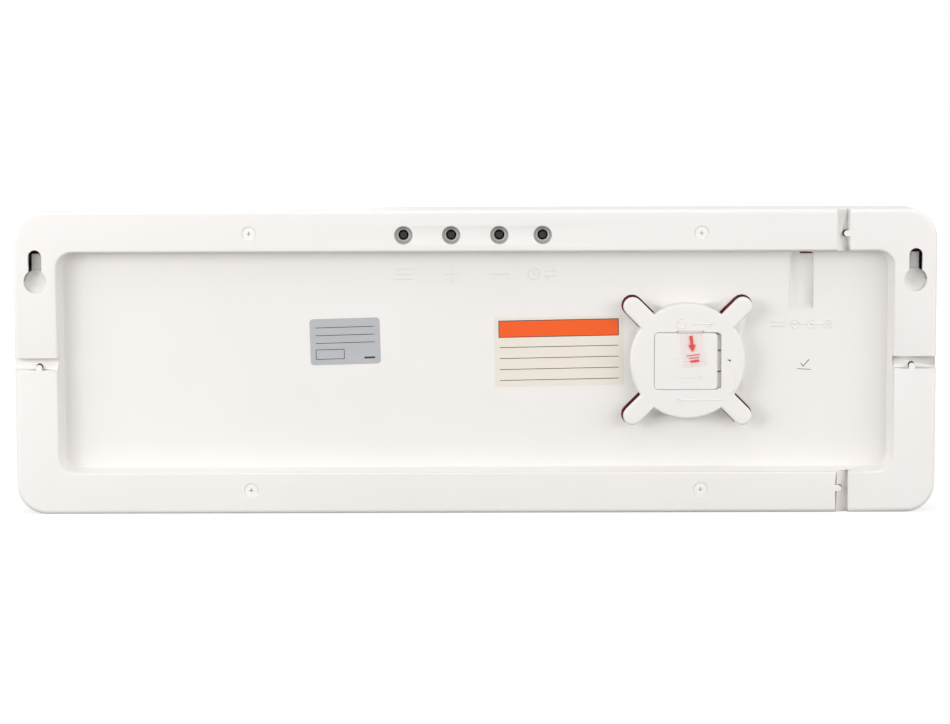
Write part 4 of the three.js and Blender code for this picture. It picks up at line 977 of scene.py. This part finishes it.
class CLOCK_OT_marks(bpy.types.Operator):
    """Raise the moulded signs on the recess floor, the winder and the cell cover"""
    bl_idname = "clock.marks"
    bl_label = "Moulded signs"

    def execute(self, context):
        marks = context.scene.clock_marks
        white = bpy.data.materials["moulded_white"]
        lines = self.key_signs(marks) + self.socket_sign(marks) + self.winder_signs(marks)
        settle("moulded_signs", merged("signs", lines), "case", SLOTS["rear_cover"], white)
        cover = self.cover_signs(marks)
        settle("cover_signs", merged("cover_signs", cover), "battery_cover",
               SLOTS["battery_cover"], white)
        return {"FINISHED"}

    def key_signs(self, marks):
        """Under the keys: three lines, a plus, a minus, and a dial with two arrows beside it."""
        bold, fine, height = marks.stroke, marks.fine_stroke, marks.height
        half, arm = marks.sign / 2, marks.plus_width / 2
        menu, plus, minus, mode = (
            Drawing(centre(key).x, centre(key).z - marks.row_drop) for key in KEYS)
        signs = []
        for row in (-1, 0, 1):
            v = row * half * 0.55
            signs.append(raised_line(menu, [(-half, v), (half, v)], fine, height))
        signs.append(raised_line(plus, [(-arm, 0), (arm, 0)], bold, height))
        signs.append(raised_line(plus, [(0, -half), (0, half)], bold, height))
        signs.append(raised_line(minus, [(-half, 0), (half, 0)], bold, height))
        dial, dial_u = half * 0.62, -half * 0.9
        strokes = [
            arc(dial_u, 0, dial, 0, RING_END),
            [(dial_u, dial * 0.6), (dial_u, 0), (-half * 0.5, 0)],
        ]
        start, end, barb = half * 0.35, half * 1.5, half * 0.3
        for side, tip in ((1, end), (-1, start)):
            v = side * half * 0.24
            strokes.append([(start, v), (end, v)])
            strokes.append([(tip - side * barb, v + side * barb), (tip, v)])
        signs += [raised_line(mode, points, fine, height) for points in strokes]
        return signs

    def socket_sign(self, marks):
        """Under the plug pocket: the signs for direct current and for a positive centre pin."""
        sign = Drawing(centre("socket_pin").x + 0.5 * MM, MIDDLE_Z + 16.4 * MM)
        current_u, minus_u, pin_u, plus_u = -11.5 * MM, -3.5 * MM, 4 * MM, 11.5 * MM
        ring, line, dash, pitch = 1.9 * MM, 3 * MM, 0.7 * MM, 2.2 * MM
        strokes = [[(current_u - line, 1 * MM), (current_u + line, 1 * MM)]]
        for k in (-1, 0, 1):
            u = current_u + k * pitch
            strokes.append([(u - dash, -1 * MM), (u + dash, -1 * MM)])
        for u in (minus_u, plus_u):
            strokes.append(arc(u, 0, ring, 0, RING_END))
            strokes.append([(u - ring / 2, 0), (u + ring / 2, 0)])
        strokes += [
            [(plus_u, -ring / 2), (plus_u, ring / 2)],
            [(minus_u + ring, 0), (pin_u - ring, 0)],
            arc(pin_u, 0, ring, 40, 320),
            arc(pin_u, 0, 0.35 * MM, 0, 320, steps=8),
            [(pin_u + 0.5 * MM, 0), (plus_u - ring, 0)],
        ]
        return [raised_line(sign, points, marks.fine_stroke, marks.height) for points in strokes]

    def winder_signs(self, marks):
        """At the winder: an arrow, an open lock, and lines from the release hole and under it."""
        fine, height = marks.fine_stroke, marks.height * 0.7
        top = Drawing(DOOR.x - 2.4 * MM, DOOR.z + 17.2 * MM)
        hole = Drawing(DOOR.x - 20.1 * MM, MIDDLE_Z - 4 * MM)
        foot = Drawing(DOOR.x - 4 * MM, MIDDLE_Z - 18 * MM)
        left, right, low, high = -9 * MM, -5 * MM, -1.7 * MM, 0.9 * MM
        lock = [(left, low), (right, low), (right, high), (left, high)]
        shackle = [(-8.2 * MM, high), *arc(-7.2 * MM, 1.7 * MM, 1 * MM, 180, 30, steps=8)]
        bend = arc(-3.6 * MM, -7 * MM, 3.8 * MM, 0, -80, steps=8)
        down = [(0, 1.4 * MM), (0.2 * MM, -6 * MM), *bend]
        signs = [raised_line(top, points, fine, height) for points in arrow(-1 * MM, 7.5 * MM)]
        signs.append(raised_line(top, lock, fine, height, closed=True))
        signs.append(raised_line(top, shackle, fine, height))
        signs.append(raised_line(hole, down, fine, height))
        signs.append(raised_line(foot, [(-9 * MM, 0), (10.5 * MM, 0)], fine, height))
        signs.append(raised_line(foot, arc(-10 * MM, 0, 1 * MM, 0, 340, steps=12), fine, height))
        return signs

    def cover_signs(self, marks):
        """Finger grips and an arrow on the cell cover."""
        fine, height = marks.fine_stroke * 0.8, marks.height * 0.45
        grip = Drawing(DOOR.x + 2.4 * MM, DOOR.z)
        low = Drawing(DOOR.x + 1.2 * MM, DOOR.z - 7.2 * MM)
        stations, bow = 12, 0.9 * MM
        signs = []
        for row in range(3):
            spread, v = (5.5 - row) * MM, (0.9 - 1.6 * row) * MM
            points = [(-spread + 2 * spread * step / stations,
                       v + bow * math.sin(math.pi * step / stations))
                      for step in range(stations + 1)]
            signs.append(raised_line(grip, points, fine, height))
        signs += [raised_line(low, points, fine, height) for points in arrow(-7.5 * MM, 6.5 * MM)]
        return signs


class CLOCK_OT_labels(bpy.types.Operator):
    """Stick the blank silver and cream labels on the recess floor"""
    bl_idname = "clock.labels"
    bl_label = "Labels"

    def execute(self, context):
        labels = context.scene.clock_labels
        ink = finish("label_ink", labels.ink, roughness=0.5)
        vary_color(ink, noise(ink, scale=1500, detail=2), labels.ink, spread=0.2)
        self.silver(labels, ink)
        self.cream(labels, ink)
        self.stamp(labels, ink)
        return {"FINISHED"}

    def silver(self, labels, ink):
        """A silver label with three rules over an empty box and a short heavy line."""
        foil = finish("label_foil", labels.silver, roughness=0.42, Metallic=0.35,
                      Specular_IOR_Level=0.5)
        streaks = noise(foil, scale=900, detail=3, stretch=(0.05, 1, 1))
        vary_color(foil, streaks, labels.silver, spread=0.035)
        relief(foil, streaks, height=0.002 * MM)
        width, height = labels.silver_size
        drawing = Drawing(*labels.silver_place, labels.silver_tilt)
        rule, margin, pitch = 0.3 * MM, 2.6 * MM, 3.6 * MM
        paper = sheet(drawing, outline(width, height, radius=1.7 * MM), 0, labels.paper)
        settle("silver_label", paper, "case", SLOTS["rear_cover"], foil)
        low, high = labels.paper, labels.paper + labels.print
        left, right = margin - width / 2, width / 2 - margin
        heights = [6.6 * MM - row * pitch for row in range(3)]
        rules = [(left, v, right, v, rule) for v in heights]
        box_right, box_low, box_high = left + 13 * MM, -8 * MM, -3.6 * MM
        box = [(left, box_low, box_right, box_low), (left, box_high, box_right, box_high),
               (left, box_low, left, box_high), (box_right, box_low, box_right, box_high)]
        rules += [(*edge, rule) for edge in box]
        rules.append((right - 5 * MM, -7.8 * MM, right, -7.8 * MM, 3 * rule))
        lines = merged("rules", [sheet(drawing, bar(*line), low, high) for line in rules])
        settle("silver_label_rules", lines, "case", SLOTS["rear_cover"], ink)

    def cream(self, labels, ink):
        """A cream label with a bordered orange band over four rules."""
        stock = finish("label_cream", labels.cream, roughness=0.48)
        vary_color(stock, noise(stock, scale=1200, detail=3), labels.cream, spread=0.012)
        relief(stock, noise(stock, scale=2600, detail=2), height=0.003 * MM)
        orange = finish("label_orange", labels.orange, roughness=0.42)
        vary_color(orange, noise(orange, scale=1400, detail=3), labels.orange, spread=0.03)
        width, height = labels.cream_size
        drawing = Drawing(*labels.cream_place, labels.cream_tilt)
        paper = sheet(drawing, outline(width, height, radius=0.6 * MM), 0, labels.paper)
        settle("cream_label", paper, "case", SLOTS["rear_cover"], stock)
        top, margin, line = height / 2 - 1.65 * MM, 2.3 * MM, 0.35 * MM
        band_width, band_height = width - 2 * margin, 7.25 * MM
        over = Drawing(*drawing.place(0, top - band_height / 2).xz, labels.cream_tilt)
        low, high = labels.paper, labels.paper + labels.print
        edge = outline(band_width + 2 * line, band_height + 2 * line, radius=0.2 * MM)
        border = sheet(over, edge, low, high)
        inner = outline(band_width, band_height, radius=0.1 * MM)
        band = sheet(over, inner, low, high + labels.print)
        settle("cream_label_band", band, "case", SLOTS["rear_cover"], orange)
        half = band_width / 2
        rules = [sheet(drawing, bar(-half, v * MM, half, v * MM, 0.3 * MM), low, high)
                 for v in (2.2, -2.9, -8.0, -13.1)]
        lines = merged("rules", [border, *rules])
        settle("cream_label_rules", lines, "case", SLOTS["rear_cover"], ink)

    def stamp(self, labels, ink):
        """A small inked tick over a line, where the clock was passed."""
        drawing = Drawing(-151.8 * MM, 65.4 * MM, math.radians(-4))
        lines = [
            bar(-3.2 * MM, 0, 3.2 * MM, 0, 0.25 * MM),
            bar(-1.6 * MM, 2.6 * MM, -0.3 * MM, 1.2 * MM, 0.35 * MM),
            bar(-0.5 * MM, 1.2 * MM, 2.0 * MM, 4.6 * MM, 0.35 * MM),
        ]
        layers = [sheet(drawing, line, 0, labels.print) for line in lines]
        settle("passed_stamp", merged("stamp", layers), "case", SLOTS["rear_cover"], ink)


class CLOCK_OT_stage(bpy.types.Operator):
    """Set the pale floor, the soft lamps and the camera behind the clock"""
    bl_idname = "clock.stage"
    bl_label = "Stage"

    def execute(self, context):
        stage = context.scene.clock_stage
        context.scene.view_settings.view_transform = "Standard"
        self.floor(stage)
        self.world(context, stage)
        middle = Vector((0, 0, MIDDLE_Z))
        self.lamp("left_lamp", Vector((0.7, 0.75, 0.3)), middle, 0.4, stage.left_power)
        self.lamp("left_side_lamp", Vector((1.1, 0.6, 0.3)), middle, 0.6, stage.left_side_power)
        self.lamp("right_lamp", Vector((-0.75, 1.1, 0.35)), middle, 0.65, stage.right_power)
        self.lamp("right_side_lamp", Vector((-1.1, 0.6, 0.3)), middle, 0.6, stage.right_side_power)
        self.lamp("top_lamp", Vector((0, 0.2, 1.1)), middle, 1.0, stage.top_power)
        self.lamp("front_lamp", Vector((0.6, -1.8, 0.1)), middle, 1.0, stage.front_power)
        self.camera(context, stage)
        return {"FINISHED"}

    def seen(self, material_tree):
        """1 for what the camera sees directly, mirrored or through glass, 0 for all other light."""
        nodes, links = material_tree.nodes, material_tree.links
        path = nodes.new("ShaderNodeLightPath")
        total = path.outputs["Is Camera Ray"]
        for output in ("Is Glossy Ray", "Is Transmission Ray"):
            either = nodes.new("ShaderNodeMath")
            either.operation = "MAXIMUM"
            links.new(total, either.inputs[0])
            links.new(path.outputs[output], either.inputs[1])
            total = either.outputs[0]
        return total

    def floor(self, stage):
        """White for the camera, and whiter still away from the clock, so that no horizon shows."""
        half, drop = 5.0, -0.02 * MM
        near, far = 0.35, 1.2
        mesh = bpy.data.meshes.new("floor")
        mesh.from_pydata(
            [(-half, -half, drop), (half, -half, drop), (half, half, drop), (-half, half, drop)],
            [], [(0, 1, 2, 3)])
        floor = bpy.data.objects.new("floor", mesh)
        bpy.context.collection.objects.link(floor)
        material = finish("pale_floor", (stage.floor_grey,) * 3, roughness=0.9,
                          Specular_IOR_Level=0.0)
        tree = material.node_tree
        shader = tree.nodes["Principled BSDF"]
        shader.inputs["Emission Color"].default_value = (1, 1, 1, 1)
        where = tree.nodes.new("ShaderNodeTexCoord")
        away = tree.nodes.new("ShaderNodeVectorMath")
        away.operation = "LENGTH"
        tree.links.new(where.outputs["Object"], away.inputs[0])
        glow = tree.nodes.new("ShaderNodeMapRange")
        glow.interpolation_type = "SMOOTHSTEP"
        for socket, value in (("From Min", near), ("From Max", far),
                              ("To Min", stage.floor_glow), ("To Max", 1.0)):
            glow.inputs[socket].default_value = value
        tree.links.new(away.outputs["Value"], glow.inputs["Value"])
        lift = tree.nodes.new("ShaderNodeMath")
        lift.operation = "MULTIPLY"
        tree.links.new(self.seen(tree), lift.inputs[0])
        tree.links.new(glow.outputs["Result"], lift.inputs[1])
        tree.links.new(lift.outputs[0], shader.inputs["Emission Strength"])
        paint(floor, material)

    def world(self, context, stage):
        world = bpy.data.worlds.new("studio")
        world.use_nodes = True
        context.scene.world = world
        tree = world.node_tree
        background = tree.nodes["Background"]
        background.inputs["Color"].default_value = (1, 1, 1, 1)
        strength = tree.nodes.new("ShaderNodeMapRange")
        strength.inputs["To Min"].default_value = stage.sky
        strength.inputs["To Max"].default_value = 1.0
        tree.links.new(self.seen(tree), strength.inputs["Value"])
        tree.links.new(strength.outputs["Result"], background.inputs["Strength"])

    def lamp(self, name, place, target, size, power):
        light = bpy.data.lights.new(name, "AREA")
        light.size = size
        light.energy = power
        lamp = bpy.data.objects.new(name, light)
        lamp.location = place
        lamp.rotation_euler = (target - place).to_track_quat("-Z", "Y").to_euler()
        bpy.context.collection.objects.link(lamp)

    def camera(self, context, stage):
        """Behind the clock and a little above it, as the photograph was taken."""
        lens = bpy.data.cameras.new("camera")
        lens.lens = stage.focal
        lens.clip_start = 0.05
        camera = bpy.data.objects.new("camera", lens)
        target = Vector((stage.side, 0, MIDDLE_Z - stage.aim))
        back = Vector((0, math.cos(stage.elevation), math.sin(stage.elevation)))
        camera.location = target + back * stage.distance
        turn = (-back).to_track_quat("-Z", "Y") @ Quaternion((0, 0, 1), stage.roll)
        camera.rotation_euler = turn.to_euler()
        bpy.context.collection.objects.link(camera)
        context.scene.camera = camera


OPERATORS = (
    CLOCK_OT_stage,
    CLOCK_OT_shells,
    CLOCK_OT_keys,
    CLOCK_OT_screws,
    CLOCK_OT_socket,
    CLOCK_OT_display,
    CLOCK_OT_electronics,
    CLOCK_OT_cell,
    CLOCK_OT_marks,
    CLOCK_OT_labels,
)


class CLOCK_PT_finishes(bpy.types.Panel):
    """Lists the steps that dress the clock"""
    bl_idname = "CLOCK_PT_finishes"
    bl_label = "Digital clock"
    bl_space_type = "VIEW_3D"
    bl_region_type = "UI"
    bl_category = "Clock"

    def draw(self, context):
        for group in GROUPS:
            box = self.layout.box()
            for key in GROUPS[group].__annotations__:
                box.prop(getattr(context.scene, group), key)
        for operator in OPERATORS:
            self.layout.operator(operator.bl_idname)


CLASSES = (*GROUPS.values(), *OPERATORS, CLOCK_PT_finishes)


def register():
    for cls in CLASSES:
        bpy.utils.register_class(cls)
    for name, group in GROUPS.items():
        setattr(bpy.types.Scene, name, PointerProperty(type=group))


def unregister():
    for name in GROUPS:
        delattr(bpy.types.Scene, name)
    for cls in reversed(CLASSES):
        bpy.utils.unregister_class(cls)


def main():
    register()
    bpy.ops.clock.stage()
    bpy.ops.clock.shells()
    bpy.ops.clock.keys()
    bpy.ops.clock.screws()
    bpy.ops.clock.socket()
    bpy.ops.clock.display()
    bpy.ops.clock.electronics()
    bpy.ops.clock.cell()
    bpy.ops.clock.marks()
    bpy.ops.clock.labels()


if __name__ == "__main__":
    main()
